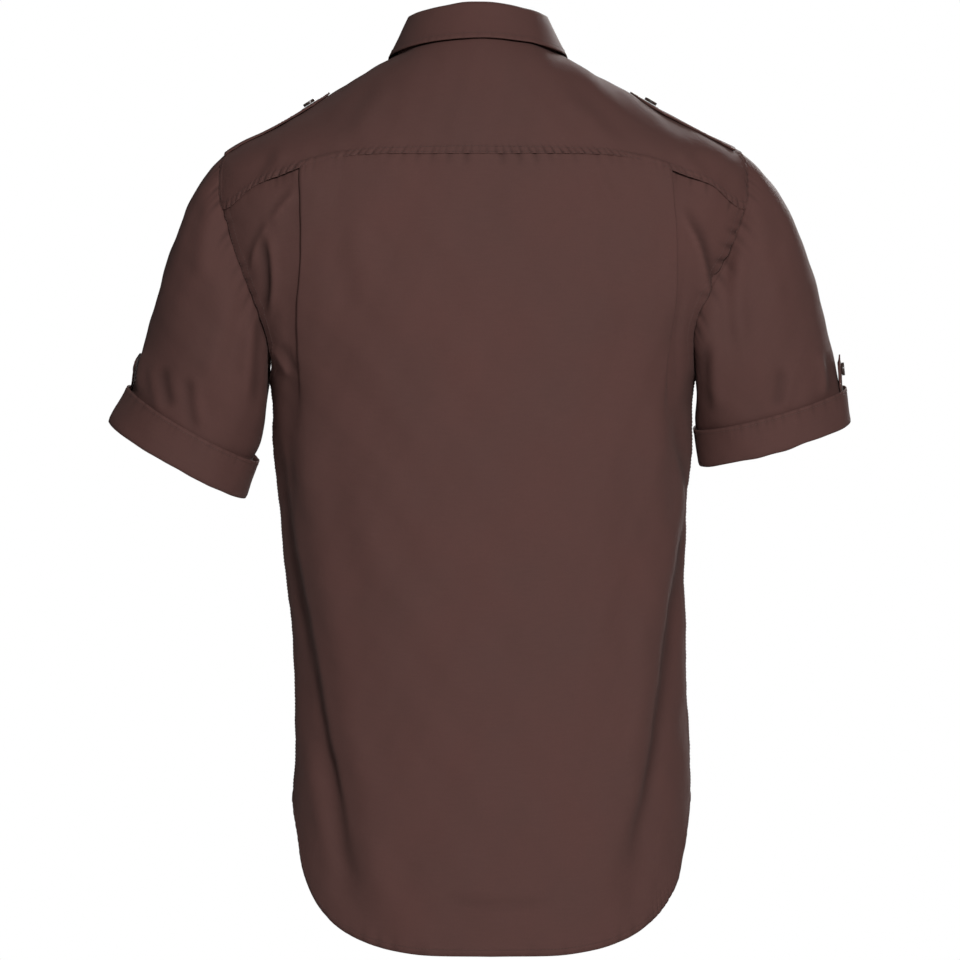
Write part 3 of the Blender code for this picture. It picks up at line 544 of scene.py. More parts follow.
def stand_points():
    turns = np.linspace(-193.0, 193.0, 181)
    past = smooth_step(150.0, 180.0, np.abs(turns)) * np.sign(turns)
    foot = 0.022 + 0.043 * smooth_step(140.0, 165.0, np.abs(turns))
    shares = (foot, 0.15, 0.3, 0.45, 0.6, 0.75, 0.9, 1.0)
    rows = [stand_point(turns, share, past * LAYER / 2) for share in shares]
    return np.array(rows)[::-1][:, ::-1]


def leaf_points():
    """The collar's turned-down leaf: up from the stand's top edge, over and down to its outer edge."""
    last_turn = FALLS[-1].turn
    turns = np.linspace(last_turn, -last_turn, 193)
    size = np.abs(turns)
    fall = {name: smooth_curve(column(FALLS, "turn"), column(FALLS, name))(size)
            for name in ("edge_turn", "edge_drop", "stand_off")}
    edge_turn = fall["edge_turn"] * np.sign(turns)
    edge = body(edge_turn, fall["edge_drop"])
    edge = edge + outward(edge_turn, fall["edge_drop"]) * fall["stand_off"][:, None]
    top = stand_point(turns, 1.0)
    out = unit(top * np.array([1.0, 1.0, 0.0]))
    up = np.array([0.0, 0.0, 1.0])
    rows = [top + up * 0.95, top + up * 2.4 + out * 0.5, top + up * 3.1 + out * 2.0,
            top + up * 2.1 + out * 4.0]
    start = rows[-1]
    pull = start + (-up * 0.42 + out * 0.2) * np.linalg.norm(edge - start, axis=1)[:, None]
    for t in arc(0.0, 1.0, 18)[1:]:
        rows.append((1 - t) ** 2 * start + 2 * t * (1 - t) * pull + t * t * edge)
    return np.array(rows)[:, ::-1]


# The sleeves

def sleeve_frame(name, share):
    """The middle and the two half axes of the sleeve's ring in the cuff: 0 at its top edge, 1 at its end."""
    shape = SLEEVES[name]
    outer = np.array(shape.cuff_top_outer) * (1 - share) + np.array(shape.cuff_end_outer) * share
    inner = np.array(shape.cuff_top_inner) * (1 - share) + np.array(shape.cuff_end_inner) * share
    middle = (outer + inner) / 2
    half = (outer - inner) / 2
    centre = np.array([shape.side * middle[0], -SLEEVE_FORWARD - 4.0 * share, middle[1]])
    long_axis = np.array([shape.side * half[0], 0.0, half[1]])
    short_axis = np.array([0.0, 1.0, -CUFF_TILT]) * SLEEVE_DEPTH
    return centre, long_axis, short_axis


def cuff_ring(name, around, share, gap=0.0):
    """A ring of the sleeve inside the cuff, moved outwards by a gap."""
    centre, long_axis, short_axis = sleeve_frame(name, share)
    angle = np.radians(around)[:, None]
    gap = np.broadcast_to(gap, np.shape(around))[:, None]
    long_gap = unit(long_axis) * gap
    short_gap = unit(short_axis) * gap
    return centre + np.cos(angle) * (long_axis + long_gap) + np.sin(angle) * (short_axis + short_gap)


def sleeve_curve(name, around, shares):
    """The sleeve from the armhole to the cuff's top edge, a row of points for each share."""
    shape = SLEEVES[name]
    turn, drop = armhole(name, around)
    start = body(turn, drop)
    normal = outward(turn, drop)
    low = ((1 - np.cos(np.radians(around))) / 2)[:, None]
    swell = np.sin(np.radians(around))[:, None]
    ways = {}
    for name_of_way in SleeveLine._fields:
        ways[name_of_way] = (getattr(shape.top, name_of_way) * (1 - low)
                             + getattr(shape.under, name_of_way) * low)
    side = np.array([shape.side, 0.0, 0.0])
    down = np.array([0.0, 0.0, -1.0])
    depth = np.array([0.0, 1.0, 0.0])
    leave = side * ways["start_out"] + down * ways["start_down"] + depth * swell * 14.0
    arrive = side * ways["end_out"] + down * ways["end_down"] - depth * (swell * 2.0 + 6.0)
    start = start + normal * (0.7 + 2.1 * low) + unit(leave) * 0.8 * (1 - low)
    finish = cuff_ring(name, around, 0.0)
    rows = []
    for t in shares:
        rows.append((1 - t) ** 3 * start + 3 * t * (1 - t) ** 2 * (start + leave)
                    + 3 * t * t * (1 - t) * (finish - arrive) + t ** 3 * finish)
    return rows


def sleeve_around():
    return np.concatenate([YOKE_BACK[:-1], BACK_EDGE[:-1], FRONT_EDGE[:-1], YOKE_FRONT[:-1]])


def sleeve_points(name):
    around = sleeve_around()
    rows = sleeve_curve(name, around, arc(0.0, 1.0, 66) ** 1.15)
    for share in (0.18, 0.36, 0.54, 0.72, 0.93):
        rows.append(cuff_ring(name, around, share))
    grid = np.array(rows)
    return grid if SLEEVES[name].side < 0 else grid[:, ::-1]


def cuff_gap(name, around):
    """The gap under the cuff's top edge: wide over the tab and, on one side, at the underarm."""
    shape = SLEEVES[name]
    from_tab = (around - shape.tab_turn + 180.0) % 360.0 - 180.0
    tab = np.exp(-(from_tab / 34.0) ** 4)
    from_under = around - 180.0
    under = np.exp(-(from_under / 34.0) ** 2)
    return CUFF_GAP + (CUFF_GAP_TAB - CUFF_GAP) * tab + (shape.cuff_gap_inner - CUFF_GAP) * under


def cuff_points(name):
    """The turned-up cuff: down the outside, round the fold and a short way up in line with the sleeve."""
    around = arc(0.0, 360.0, 144)[:-1]
    top_gap = cuff_gap(name, around)
    rows = []
    for share in (0.0, 0.08, 0.16, 0.28, 0.4, 0.52, 0.64, 0.76, 0.86, 0.94):
        rows.append(cuff_ring(name, around, share, top_gap * (1 - share) + CUFF_GAP * share))
    rows.append(cuff_ring(name, around, 1.02, CUFF_GAP * 0.8))
    rows.append(cuff_ring(name, around, 1.035, CUFF_GAP * 0.4))
    rows.append(cuff_ring(name, around, 1.01, 0.0))
    rows.append(cuff_ring(name, around, 0.945, 0.0))
    grid = np.array(rows)
    return grid if SLEEVES[name].side < 0 else grid[:, ::-1]


def tab_points(name):
    """The tab that comes up from under the cuff and stands off the sleeve."""
    shape = SLEEVES[name]
    spread = np.degrees(TAB_HALF_WIDTH / SLEEVE_DEPTH)
    rows = []
    for t in np.concatenate([arc(0.87, 0.905, 5), arc(0.905, 0.985, 12)[1:]]):
        width = np.interp(t, (0.87, 0.905), (0.12, 1.0))
        gap = np.interp(t, (0.87, 0.905, 0.95, 0.985), (5.2, 4.9, 3.8, 2.6))
        around = shape.tab_turn + spread * width * arc(-1.0, 1.0, 12)
        row = sleeve_curve(name, around % 360.0, [t])[0]
        near = sleeve_curve(name, around % 360.0, [t - 0.03])[0]
        beside = sleeve_curve(name, (around + 3.0) % 360.0, [t])[0]
        normal = unit(np.cross(beside - row, near - row)) * shape.side
        rows.append(row + normal * gap)
    around = shape.tab_turn + spread * arc(-1.0, 1.0, 12)
    rows.append(cuff_ring(name, around, 0.16, 2.2))
    grid = np.array(rows)
    return grid if shape.side < 0 else grid[:, ::-1]


# The shoulder straps

def on_shoulder(x, y):
    """The turn and drop of the point of the shoulder above (x, y)."""
    low, high = NECK_DROP, 108.0
    for _ in range(40):
        drop = (low + high) / 2
        depth = BODY_FORM["back"](drop) if y > 0 else BODY_FORM["front"](drop)
        power = 2.0 / BODY_FORM["squareness"](drop)
        aft = min(abs(y) / depth, 1.0) ** (1 / power)
        reach = BODY_FORM["half_width"](drop) * (1 - aft ** 2) ** (power / 2)
        if reach < abs(x - BODY_FORM["middle"](drop)):
            low = drop
        else:
            high = drop
    angle = np.degrees(np.arccos(aft * np.sign(y))) if y else 90.0
    return angle * np.sign(x), drop


def strap_point(side, length, across, lift):
    x = side * length
    turn, drop = on_shoulder(x, across)
    turn, drop = np.array(turn), np.array(drop)
    normal = outward(turn, drop)
    return body(turn, drop) + normal * lift, normal


# The strap's outline from the armhole to its point: distance from the middle and share of its half width
Outline = namedtuple("Outline", "length width lift")
STRAP = (
    Outline(219.0, 1.08, 2.2), Outline(204.0, 1.06, 2.3), Outline(188.0, 1.03, 2.4), Outline(172.0, 1.0, 2.6),
    Outline(156.0, 0.96, 2.6), Outline(142.0, 0.92, 2.4), Outline(133.0, 0.5, 2.3), Outline(128.5, 0.08, 2.2),
)


def strap_points(side):
    rows = []
    knots = column(STRAP, "length")[::-1]
    for length in np.concatenate([arc(219.0, 142.0, 24), arc(142.0, 128.5, 8)[1:]]):
        width = np.interp(length, knots, column(STRAP, "width")[::-1])
        lift = np.interp(length, knots, column(STRAP, "lift")[::-1])
        places = STRAP_HALF_WIDTH * width * arc(-1.0, 1.0, 14)
        rows.append([strap_point(side, length, place, lift)[0] for place in places])
    grid = np.array(rows)
    return grid if side > 0 else grid[:, ::-1]

# Creases and seams

# A crease's path over the cloth seen from the back or the front, as heights and places across, its width,
# how far its ridge stands out, how far the trough beside it sinks in, and on which side of it the trough lies
Crease = namedtuple("Crease", "path width ridge trough side")
RIDGE_SCALE = 1.55     # how much stronger than in the tables all the ridges are
TROUGH_SCALE = 1.65    # and all the troughs
LIT_RIDGE_WIDTH = 5.0      # a narrower ridge is painted lighter, as wear and as a painted highlight
SHADED_TROUGH_WIDTH = 7.0       # a narrower trough gets painted shade
FULL_SHADE_DEPTH = 4.0       # the trough depth that gets the full painted shade

BACK_CREASES = (
    # The pull that runs from the left pleat's top to the armhole and parts in two
    Crease(((-112, 156), (-126, 169), (-141, 180)), 3.2, 1.3, 0.7, 1),
    Crease(((-138, 179), (-163, 192), (-186, 197)), 3.4, 1.2, 0.8, 1),
    Crease(((-145, 182), (-175, 178), (-208, 179), (-226, 183)), 4.2, 1.3, 2.2, 1),
    # Below the left armhole
    Crease(((-244, 179), (-260, 170), (-274, 162)), 4.0, 1.4, 0.9, -1),
    # From the yoke's seam towards the right armhole
    Crease(((-84, -106), (-105, -116), (-122, -129)), 7.0, 0.9, 1.2, 1),
    # The cloth that overhangs the right armhole
    Crease(((-125, -168), (-141, -177), (-159, -186), (-179, -192), (-205, -196), (-226, -196), (-243, -184)),
           4.6, 2.3, 1.7, -1),
    # Beside the long folds near the hem
    Crease(((-576, 152), (-611, 144), (-646, 138), (-686, 130), (-716, 122)), 8.0, 1.3, 1.3, -1),
    Crease(((-500, -148), (-560, -140), (-620, -133), (-690, -121)), 9.0, 1.0, 1.0, 1),
    Crease(((-711, 34), (-717, -10), (-714, -70)), 5.0, 0.5, 0.4, 1),
    # The edges of the long folds
    Crease(((-300, 172), (-374, 162), (-456, 148), (-522, 136), (-597, 123), (-679, 107), (-706, 101)),
           4.2, 1.15, 1.4, 1),
    Crease(((-275, -159), (-329, -164), (-377, -174), (-436, -164), (-506, -154), (-594, -142), (-657, -128),
            (-708, -119)), 5.0, 1.15, 1.75, -1),
    # Slack over the shoulder blades and the waist
    Crease(((-100, 112), (-150, 104), (-230, 98)), 12.0, 0.9, 0.7, 1),
    Crease(((-104, -92), (-170, -100), (-260, -104)), 13.0, 0.9, 0.6, -1),
    Crease(((-330, 118), (-400, 96), (-480, 84)), 14.0, 0.7, 0.5, 1),
    Crease(((-350, -112), (-430, -104), (-520, -100)), 14.0, 0.8, 0.6, -1),
)

YOKE_CREASES = (
    Crease(((-20, 74), (-44, 96), (-72, 110)), 9.0, 0.8, 0.6, 1),
    Crease(((-30, -66), (-52, -92), (-76, -112)), 10.0, 0.7, 0.6, -1),
    Crease(((-74, 168), (-92, 176), (-108, 190)), 7.0, 0.8, 0.8, 1),
    Crease(((-70, -170), (-90, -180), (-104, -196)), 7.0, 0.8, 0.7, -1),
)

FRONT_CREASES = (
    # From each shoulder towards the buttons
    Crease(((-70, 118), (-130, 92), (-196, 60)), 9.0, 1.3, 1.1, 1),
    Crease(((-74, -122), (-140, -98), (-210, -58)), 10.0, 1.2, 1.2, -1),
    Crease(((-92, 160), (-150, 142), (-222, 122)), 8.0, 1.2, 1.0, 1),
    Crease(((-96, -158), (-160, -138), (-240, -124)), 8.0, 1.3, 1.1, -1),
    # Pulls below the armholes
    Crease(((-205, 186), (-236, 160), (-262, 128)), 6.5, 1.8, 1.8, 1),
    Crease(((-228, 184), (-262, 166), (-300, 152)), 5.5, 1.4, 1.6, -1),
    Crease(((-200, -188), (-232, -162), (-266, -134)), 6.5, 1.7, 1.8, -1),
    Crease(((-232, -183), (-270, -168), (-306, -158)), 5.0, 1.5, 1.4, 1),
    # Long folds down the sides
    Crease(((-300, 138), (-420, 124), (-560, 112), (-700, 98)), 15.0, 2.2, 3.0, 1),
    Crease(((-290, -140), (-430, -128), (-580, -118), (-704, -96)), 14.0, 2.4, 3.2, -1),
    Crease(((-430, 76), (-540, 70), (-690, 74)), 13.0, 1.4, 1.2, -1),
    Crease(((-400, -70), (-520, -74), (-660, -62)), 14.0, 1.3, 1.2, 1),
    # Small pulls from the buttons
    Crease(((-206, 12), (-214, 40), (-232, 66)), 5.0, 0.5, 0.3, 1),
    Crease(((-296, 14), (-300, 44), (-312, 78)), 5.5, 0.5, 0.3, -1),
    Crease(((-385, 12), (-380, 40), (-388, 70)), 5.0, 0.45, 0.3, 1),
    Crease(((-298, -22), (-310, -50), (-334, -76)), 5.5, 0.5, 0.3, 1),
    Crease(((-476, -22), (-486, -48), (-500, -70)), 5.5, 0.45, 0.3, -1),
)

SLEEVE_BACK_CREASES = (
    # The wearer's left sleeve
    Crease(((-247, 291), (-268, 293), (-287, 293)), 4.5, 1.6, 1.4, 1),
    Crease(((-262, 283), (-282, 279), (-304, 274)), 5.0, 1.4, 1.6, -1),
    Crease(((-110, 228), (-150, 236), (-196, 240)), 9.0, 1.0, 1.2, 1),
    Crease(((-190, 214), (-235, 224), (-290, 236)), 10.0, 1.2, 1.2, -1),
    Crease(((-206, 196), (-250, 199), (-305, 204)), 6.0, 1.4, 1.6, -1),
    Crease(((-268, 246), (-296, 243), (-322, 238)), 5.0, 0.9, 1.0, 1),
    # The wearer's right sleeve
    Crease(((-120, -232), (-170, -246), (-230, -262)), 10.0, 1.1, 1.1, -1),
    Crease(((-150, -226), (-200, -222), (-262, -228)), 7.0, 1.6, 1.8, 1),
    Crease(((-240, -204), (-272, -202), (-306, -206)), 6.0, 1.2, 1.4, 1),
    Crease(((-250, -292), (-272, -296), (-290, -296)), 4.5, 1.3, 1.3, -1),
    Crease(((-262, -268), (-284, -266), (-304, -262)), 5.0, 0.9, 1.0, 1),
)

SLEEVE_FRONT_CREASES = (
    Crease(((-120, 222), (-170, 234), (-226, 246)), 9.0, 1.2, 1.2, 1),
    Crease(((-200, 198), (-240, 216), (-286, 226)), 7.0, 1.6, 1.6, -1),
    Crease(((-240, 282), (-268, 284), (-290, 286)), 5.0, 1.2, 1.2, 1),
    Crease(((-116, -226), (-164, -240), (-220, -250)), 9.0, 1.2, 1.2, -1),
    Crease(((-196, -204), (-236, -220), (-280, -232)), 7.0, 1.6, 1.6, 1),
    Crease(((-244, -286), (-270, -290), (-290, -290)), 5.0, 1.2, 1.2, -1),
)

# The slow unevenness of the whole cloth
Swell = namedtuple("Swell", "across down phase height")
SWELL_DEPTH = 90.0     # from one wave to the next through the shirt's depth
SWELLS = (
    Swell(61.0, 143.0, 0.4, 0.45), Swell(-97.0, 88.0, 2.1, 0.4), Swell(39.0, -71.0, 4.0, 0.25),
    Swell(23.0, 57.0, 1.2, 0.14), Swell(-31.0, 26.0, 5.2, 0.12),
)


def smooth_path(places):
    """A smooth line of points (x, height) through the places (height, x)."""
    knots = np.array(places, float)[:, ::-1]
    lengths = np.concatenate([[0.0], np.cumsum(np.linalg.norm(np.diff(knots, axis=0), axis=1))])
    run = np.linspace(0.0, lengths[-1], 22)
    return np.stack([smooth_curve(lengths, knots[:, axis])(run) for axis in (0, 1)], axis=-1)


def beside_path(flat, line):
    """Each flat point's distance from the line, below zero on its right, and its share of the way along."""
    run = np.diff(line, axis=0)
    from_start = flat[:, None] - line[:-1][None]
    t = np.clip((from_start * run).sum(axis=2) / (run ** 2).sum(axis=1), 0.0, 1.0)
    gap = from_start - t[..., None] * run
    distance = np.linalg.norm(gap, axis=2)
    nearest = distance.argmin(axis=1)
    rows = np.arange(len(flat))
    gap = gap[rows, nearest]
    way = run[nearest]
    turn = np.sign(way[:, 0] * gap[:, 1] - way[:, 1] * gap[:, 0])
    return distance[rows, nearest] * turn, (nearest + t[rows, nearest]) / len(run)


def crease_relief(points, facing, creases):
    """How far the creases move each point outwards, a mask of their sharp ridges, painted lighter as wear and
    as a highlight, and a mask of their troughs, painted shade.
    """
    flat = points[..., [0, 2]].reshape(-1, 2)
    facing = smooth_step(0.02, 0.3, facing).reshape(-1)
    relief = np.zeros(len(flat))
    sharp = np.zeros(len(flat))
    hollow = np.zeros(len(flat))
    for crease in creases:
        line = smooth_path(crease.path)
        margin = 4.0 * crease.width
        near = ((flat > line.min(axis=0) - margin) & (flat < line.max(axis=0) + margin)).all(axis=1)
        near = np.flatnonzero(near & (facing > 0))
        if not len(near):
            continue
        signed, share = beside_path(flat[near], line)
        # The trough lies towards the wearer's left for a side of 1
        left = np.sign(line[0, 1] - line[-1, 1])
        away = signed * crease.side * left / crease.width
        fade = smooth_step(0.0, 0.25, share) * smooth_step(1.0, 0.72, share) * facing[near]
        ridge = np.exp(-away ** 2)
        trough = np.exp(-(away - 1.5) ** 2)
        depth = TROUGH_SCALE * crease.trough
        relief[near] += fade * (RIDGE_SCALE * crease.ridge * ridge - depth * trough)
        # Narrow troughs get painted shade in the cloth's colour
        if crease.width < SHADED_TROUGH_WIDTH:
            hollow[near] = np.maximum(hollow[near], fade * trough * min(depth / FULL_SHADE_DEPTH, 1.0))
        # Narrow ridges are painted lighter in the cloth's colour, as wear and as a painted highlight
        if crease.width < LIT_RIDGE_WIDTH:
            sharp[near] += fade * ridge ** 3
    shape = points.shape[:-1]
    return relief.reshape(shape), np.clip(sharp, 0.0, 1.0).reshape(shape), hollow.reshape(shape)


def swell_relief(points):
    relief = np.zeros(points.shape[:-1])
    for swell in SWELLS:
        wave = points[..., 0] / swell.across + points[..., 2] / swell.down + points[..., 1] / SWELL_DEPTH
        relief += swell.height * np.sin(2 * np.pi * (wave + swell.phase))
    return relief


def turned(grid, edge):
    """The grid with the named edge as its first row."""
    if edge == "top":
        return grid
    if edge == "bottom":
        return grid[::-1]
    if edge == "first":
        return np.swapaxes(grid, 0, 1)
    return np.swapaxes(grid[:, ::-1], 0, 1)


def turned_back(grid, edge):
    if edge == "last":
        return np.swapaxes(grid, 0, 1)[:, ::-1]
    return turned(grid, edge)


def from_edge(points, edge):
    """Each point's distance from the named edge, and the edge's own length up to it."""
    lines = turned(points, edge)
    steps = np.linalg.norm(np.diff(lines, axis=0), axis=2)
    distance = np.concatenate([np.zeros((1, steps.shape[1])), np.cumsum(steps, axis=0)])
    sides = np.linalg.norm(np.diff(lines[0], axis=0), axis=1)
    along = np.concatenate([[0.0], np.cumsum(sides)])
    along = np.broadcast_to(along, distance.shape)
    return turned_back(distance, edge), turned_back(along, edge)


def ripple(along, phase):
    """The puckers along a seam: narrow troughs, unevenly spaced and deep, with soft rises between them."""
    slow = np.sin(along / 29.0 + phase)
    wave = np.sin(along * 0.92 + 2.2 * slow + phase)
    other = np.sin(along * 0.47 + 2.3 * phase + 1.3 * slow)
    wave = 0.35 * other + 0.25 - 1.3 * smooth_step(0.25, 1.0, wave)
    return wave * (0.7 + 0.3 * np.sin(along / 37.0 + 1.9 * phase))


# Sewn edges: which edge, how far the gathers reach in from it, how high they are, and the width and the
# height of the doubled cloth
Sewn = namedtuple("Sewn", "edge reach gather welt height")


def sewn_relief(points, rows, gather_scale, phase):
    """How far the gathers and the doubled cloth move each point, and a mask of the puckers' troughs, painted
    shade.
    """
    relief = np.zeros(points.shape[:-1])
    hollow = np.zeros(points.shape[:-1])
    for index, row in enumerate(rows):
        distance, along = from_edge(points, row.edge)
        gathers = ripple(along, phase + 1.3 * index) * np.exp(-(distance / row.reach) ** 2)
        if row.edge in ("first", "last"):
            gathers = gathers * (0.25 + 0.75 * smooth_step(-245.0, -195.0, points[..., 2]))
        relief += gather_scale * row.gather * gathers
        # The puckers' troughs get painted shade in the cloth's colour
        hollow = np.maximum(hollow, min(row.gather, 1.0) * np.clip(-gathers, 0.0, 1.0))
        relief += row.height * smooth_step(row.welt + 1.2, row.welt - 0.6, distance)
        relief -= 0.22 * row.height * np.exp(-((distance - row.welt * 0.8) / 1.1) ** 2)
    return relief, hollow


def tucked(grid, edge, reach, sink):
    """Carries one edge of a sheet on, under the sheet that is sewn over it."""
    lines = turned(grid, edge)
    normals = turned(grid_normals(grid), edge)
    way = unit(lines[0] - lines[1])
    added = [lines[0] + way * reach - normals[0] * sink,
             lines[0] + way * reach * 0.35 - normals[0] * sink,
             lines[0] + way * 0.3 - normals[0] * sink * 0.4]
    return turned_back(np.concatenate([np.array(added), lines]), edge)


# Meshes

def cell_faces(rows, columns, around):
    return [(row * columns + this, row * columns + (this + 1) % columns,
             (row + 1) * columns + (this + 1) % columns, (row + 1) * columns + this)
            for row in range(rows - 1) for this in range(columns if around else columns - 1)]


def lay_out_cloth(mesh, grid, around):
    """Gives the sheet a UV map in metres, along its threads."""
    rows, columns = grid.shape[:2]
    closed = np.concatenate([grid, grid[:, :1]], axis=1) if around else grid
    across = np.linalg.norm(np.diff(closed, axis=1), axis=2).mean(axis=0)
    down = np.linalg.norm(np.diff(grid, axis=0), axis=2).mean(axis=1)
    u = np.concatenate([[0.0], np.cumsum(across)]) * MM
    v = np.concatenate([[0.0], np.cumsum(down)]) * MM
    cells = columns if around else columns - 1
    row, this = np.divmod(np.arange((rows - 1) * cells), cells)
    corners = np.stack([np.stack([u[this], -v[row]], axis=-1), np.stack([u[this + 1], -v[row]], axis=-1),
                        np.stack([u[this + 1], -v[row + 1]], axis=-1),
                        np.stack([u[this], -v[row + 1]], axis=-1)],
                       axis=1)
    layer = mesh.uv_layers.new(name="cloth")
    layer.data.foreach_set("uv", corners.astype(np.float32).ravel())


def add_mask(mesh, name, values):
    layer = mesh.attributes.new(name, "FLOAT", "POINT")
    layer.data.foreach_set("value", np.asarray(values, np.float32).ravel())


def flat_area(grid, around):
    """The cut's area in square metres, from its cells."""
    closed = np.concatenate([grid, grid[:, :1]], axis=1) if around else grid
    first = closed[1:, 1:] - closed[:-1, :-1]
    second = closed[1:, :-1] - closed[:-1, 1:]
    return float(np.linalg.norm(np.cross(first, second), axis=2).sum() / 2 * MM * MM)


def cut_size(grid, around):
    """The width and length, in metres, of the cloth's cut at its widest and longest."""
    closed = np.concatenate([grid, grid[:, :1]], axis=1) if around else grid
    width = np.linalg.norm(np.diff(closed, axis=1), axis=2).sum(axis=1).max()
    length = np.linalg.norm(np.diff(grid, axis=0), axis=2).sum(axis=0).max()
    return width * MM, length * MM


def add_piece(name, mesh, material):
    for old in (bpy.data.objects.get(name),):
        if old is not None:
            bpy.data.objects.remove(old, do_unlink=True)
    piece = bpy.data.objects.new(name, mesh)
    bpy.context.scene.collection.objects.link(piece)
    mesh.materials.append(material)
    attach(piece, BODY)
    return piece


def add_sheet(name, grid, node, cloth, masks=None, around=False, wall=None):
    """One sheet of cloth in place of its solid."""
    rows, columns = grid.shape[:2]
    mesh = bpy.data.meshes.new(name)
    mesh.from_pydata((grid.reshape(-1, 3) * MM).tolist(), [], cell_faces(rows, columns, around))
    mesh.update()
    lay_out_cloth(mesh, grid, around)
    for mask in ("crease", "edge", "hollow"):
        values = np.zeros((rows, columns)) if masks is None else masks.get(mask, np.zeros((rows, columns)))
        add_mask(mesh, mask, values)
    mesh.shade_smooth()
    piece = add_piece(name, mesh, cloth_material())
    solid = piece.modifiers.new("Wall", "SOLIDIFY")
    solid.thickness = cloth.wall if wall is None else wall
    solid.offset = 0.0
    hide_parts(node)
    width, length = cut_size(grid, around)
    area = min(flat_area(grid, around), width * length)
    return piece


# Sewing

def seam_line(grid, edge, distance, around=False):
    """The points and outward directions on the cloth at a distance from one edge."""
    lines = turned(grid, edge)
    normals = turned(grid_normals(grid, around), edge)
    steps = np.linalg.norm(np.diff(lines, axis=0), axis=2)
    down = np.concatenate([np.zeros((1, steps.shape[1])), np.cumsum(steps, axis=0)])
    places = np.arange(len(lines), dtype=float)
    points = []
    outs = []
    for index in range(lines.shape[1]):
        place = np.interp(distance, down[:, index], places)
        low = int(min(place, len(lines) - 2))
        t = place - low
        points.append(lines[low, index] * (1 - t) + lines[low + 1, index] * t)
        outs.append(normals[low, index] * (1 - t) + normals[low + 1, index] * t)
    return np.array(points), unit(np.array(outs))


def without_ends(path, first, last):
    """The path with its ends cut short by two lengths, in millimetres."""
    points, outs = path
    run = np.concatenate([[0.0], np.cumsum(np.linalg.norm(np.diff(points, axis=0), axis=1))])
    kept = (run >= first) & (run <= run[-1] - last)
    return points[kept], outs[kept]


def closed_path(path):
    points, outs = path
    return np.concatenate([points, points[:1]]), np.concatenate([outs, outs[:1]])


def stitch_rings(path, outs, sewing, lift, pitch, length, crosswise):
    """The rings of points of a row of raised stitches on a path, each ring for all the stitches at once."""
    width = sewing.thread_width / MM / 2
    run = np.concatenate([[0.0], np.cumsum(np.linalg.norm(np.diff(path, axis=0), axis=1))])
    count = max(int(run[-1] / pitch), 1)
    middles = (np.arange(count) + 0.5) * run[-1] / count

    def at(places, values):
        return np.stack([np.interp(places, run, values[:, axis]) for axis in range(3)], axis=-1)

    centre = at(middles, path)
    out = unit(at(middles, outs))
    way = unit(at(middles + 0.5, path) - at(middles - 0.5, path))
    side = unit(np.cross(out, way))
    if crosswise:
        way, side = side, -way
    rings = []
    for place, rise, thick in ((-0.5, 0.15, 0.45), (-0.22, 0.85, 1.0), (0.22, 0.85, 1.0), (0.5, 0.15, 0.45)):
        base = centre + way * length * place + out * (lift + (rise - 0.6) * width)
        for angle in (0.0, math.pi / 2, math.pi, 3 * math.pi / 2):
            rings.append(base + (side * math.cos(angle) + out * math.sin(angle)) * width * thick)
    return np.stack(rings, axis=1)


def stitch_mesh(name, paths, sewing, lift, pitch=None, length=None, crosswise=False):
    """The mesh of all the stitches along the paths."""
    pitch = sewing.stitch_pitch / MM if pitch is None else pitch
    length = sewing.stitch_length / MM if length is None else length
    corners = []
    faces = []
    for path, outs in paths:
        rings = stitch_rings(path, outs, sewing, lift, pitch, length, crosswise)
        first = sum(len(block) for block in corners)
        corners.append(rings.reshape(-1, 3))
        for stitch in range(len(rings)):
            base = first + stitch * 16
            for ring in range(3):
                for turn in range(4):
                    a = base + ring * 4 + turn
                    b = base + ring * 4 + (turn + 1) % 4
                    faces.append((a, b, b + 4, a + 4))
            faces.append((base + 3, base + 2, base + 1, base))
            faces.append((base + 12, base + 13, base + 14, base + 15))
    mesh = bpy.data.meshes.new(name)
    mesh.from_pydata((np.concatenate(corners) * MM).tolist(), [], faces)
    mesh.update()
    mesh.shade_smooth()
    return mesh


def add_stitching(name, paths, sewing, lift=0.35, pitch=None, length=None, crosswise=False):
    mesh = stitch_mesh(name, paths, sewing, lift, pitch, length, crosswise)
    return add_piece(name, mesh, thread_material())


# Materials

def make_group(name, inputs, outputs):
    """An empty shader node group with its sockets."""
    group = bpy.data.node_groups.new(name, "ShaderNodeTree")
    for socket, kind, value in inputs:
        made = group.interface.new_socket(socket, in_out="INPUT", socket_type=kind)
        if value is not None:
            made.default_value = value
    for socket, kind in outputs:
        group.interface.new_socket(socket, in_out="OUTPUT", socket_type=kind)
    return group, group.nodes.new("NodeGroupInput"), group.nodes.new("NodeGroupOutput")


def math_node(tree, operation, first, second=None):
    node = tree.nodes.new("ShaderNodeMath")
    node.operation = operation
    for socket, value in zip(node.inputs, (first, second)):
        if value is None:
            continue
        if isinstance(value, (int, float)):
            socket.default_value = value
        else:
            tree.links.new(value, socket)
    return node.outputs[0]


def noise_node(tree, vector, scale, detail=3.0, roughness=0.5):
    node = tree.nodes.new("ShaderNodeTexNoise")
    node.inputs["Detail"].default_value = detail
    node.inputs["Roughness"].default_value = roughness
    tree.links.new(vector, node.inputs["Vector"])
    if isinstance(scale, (int, float)):
        node.inputs["Scale"].default_value = scale
    else:
        tree.links.new(scale, node.inputs["Scale"])
    return node.outputs["Fac"]


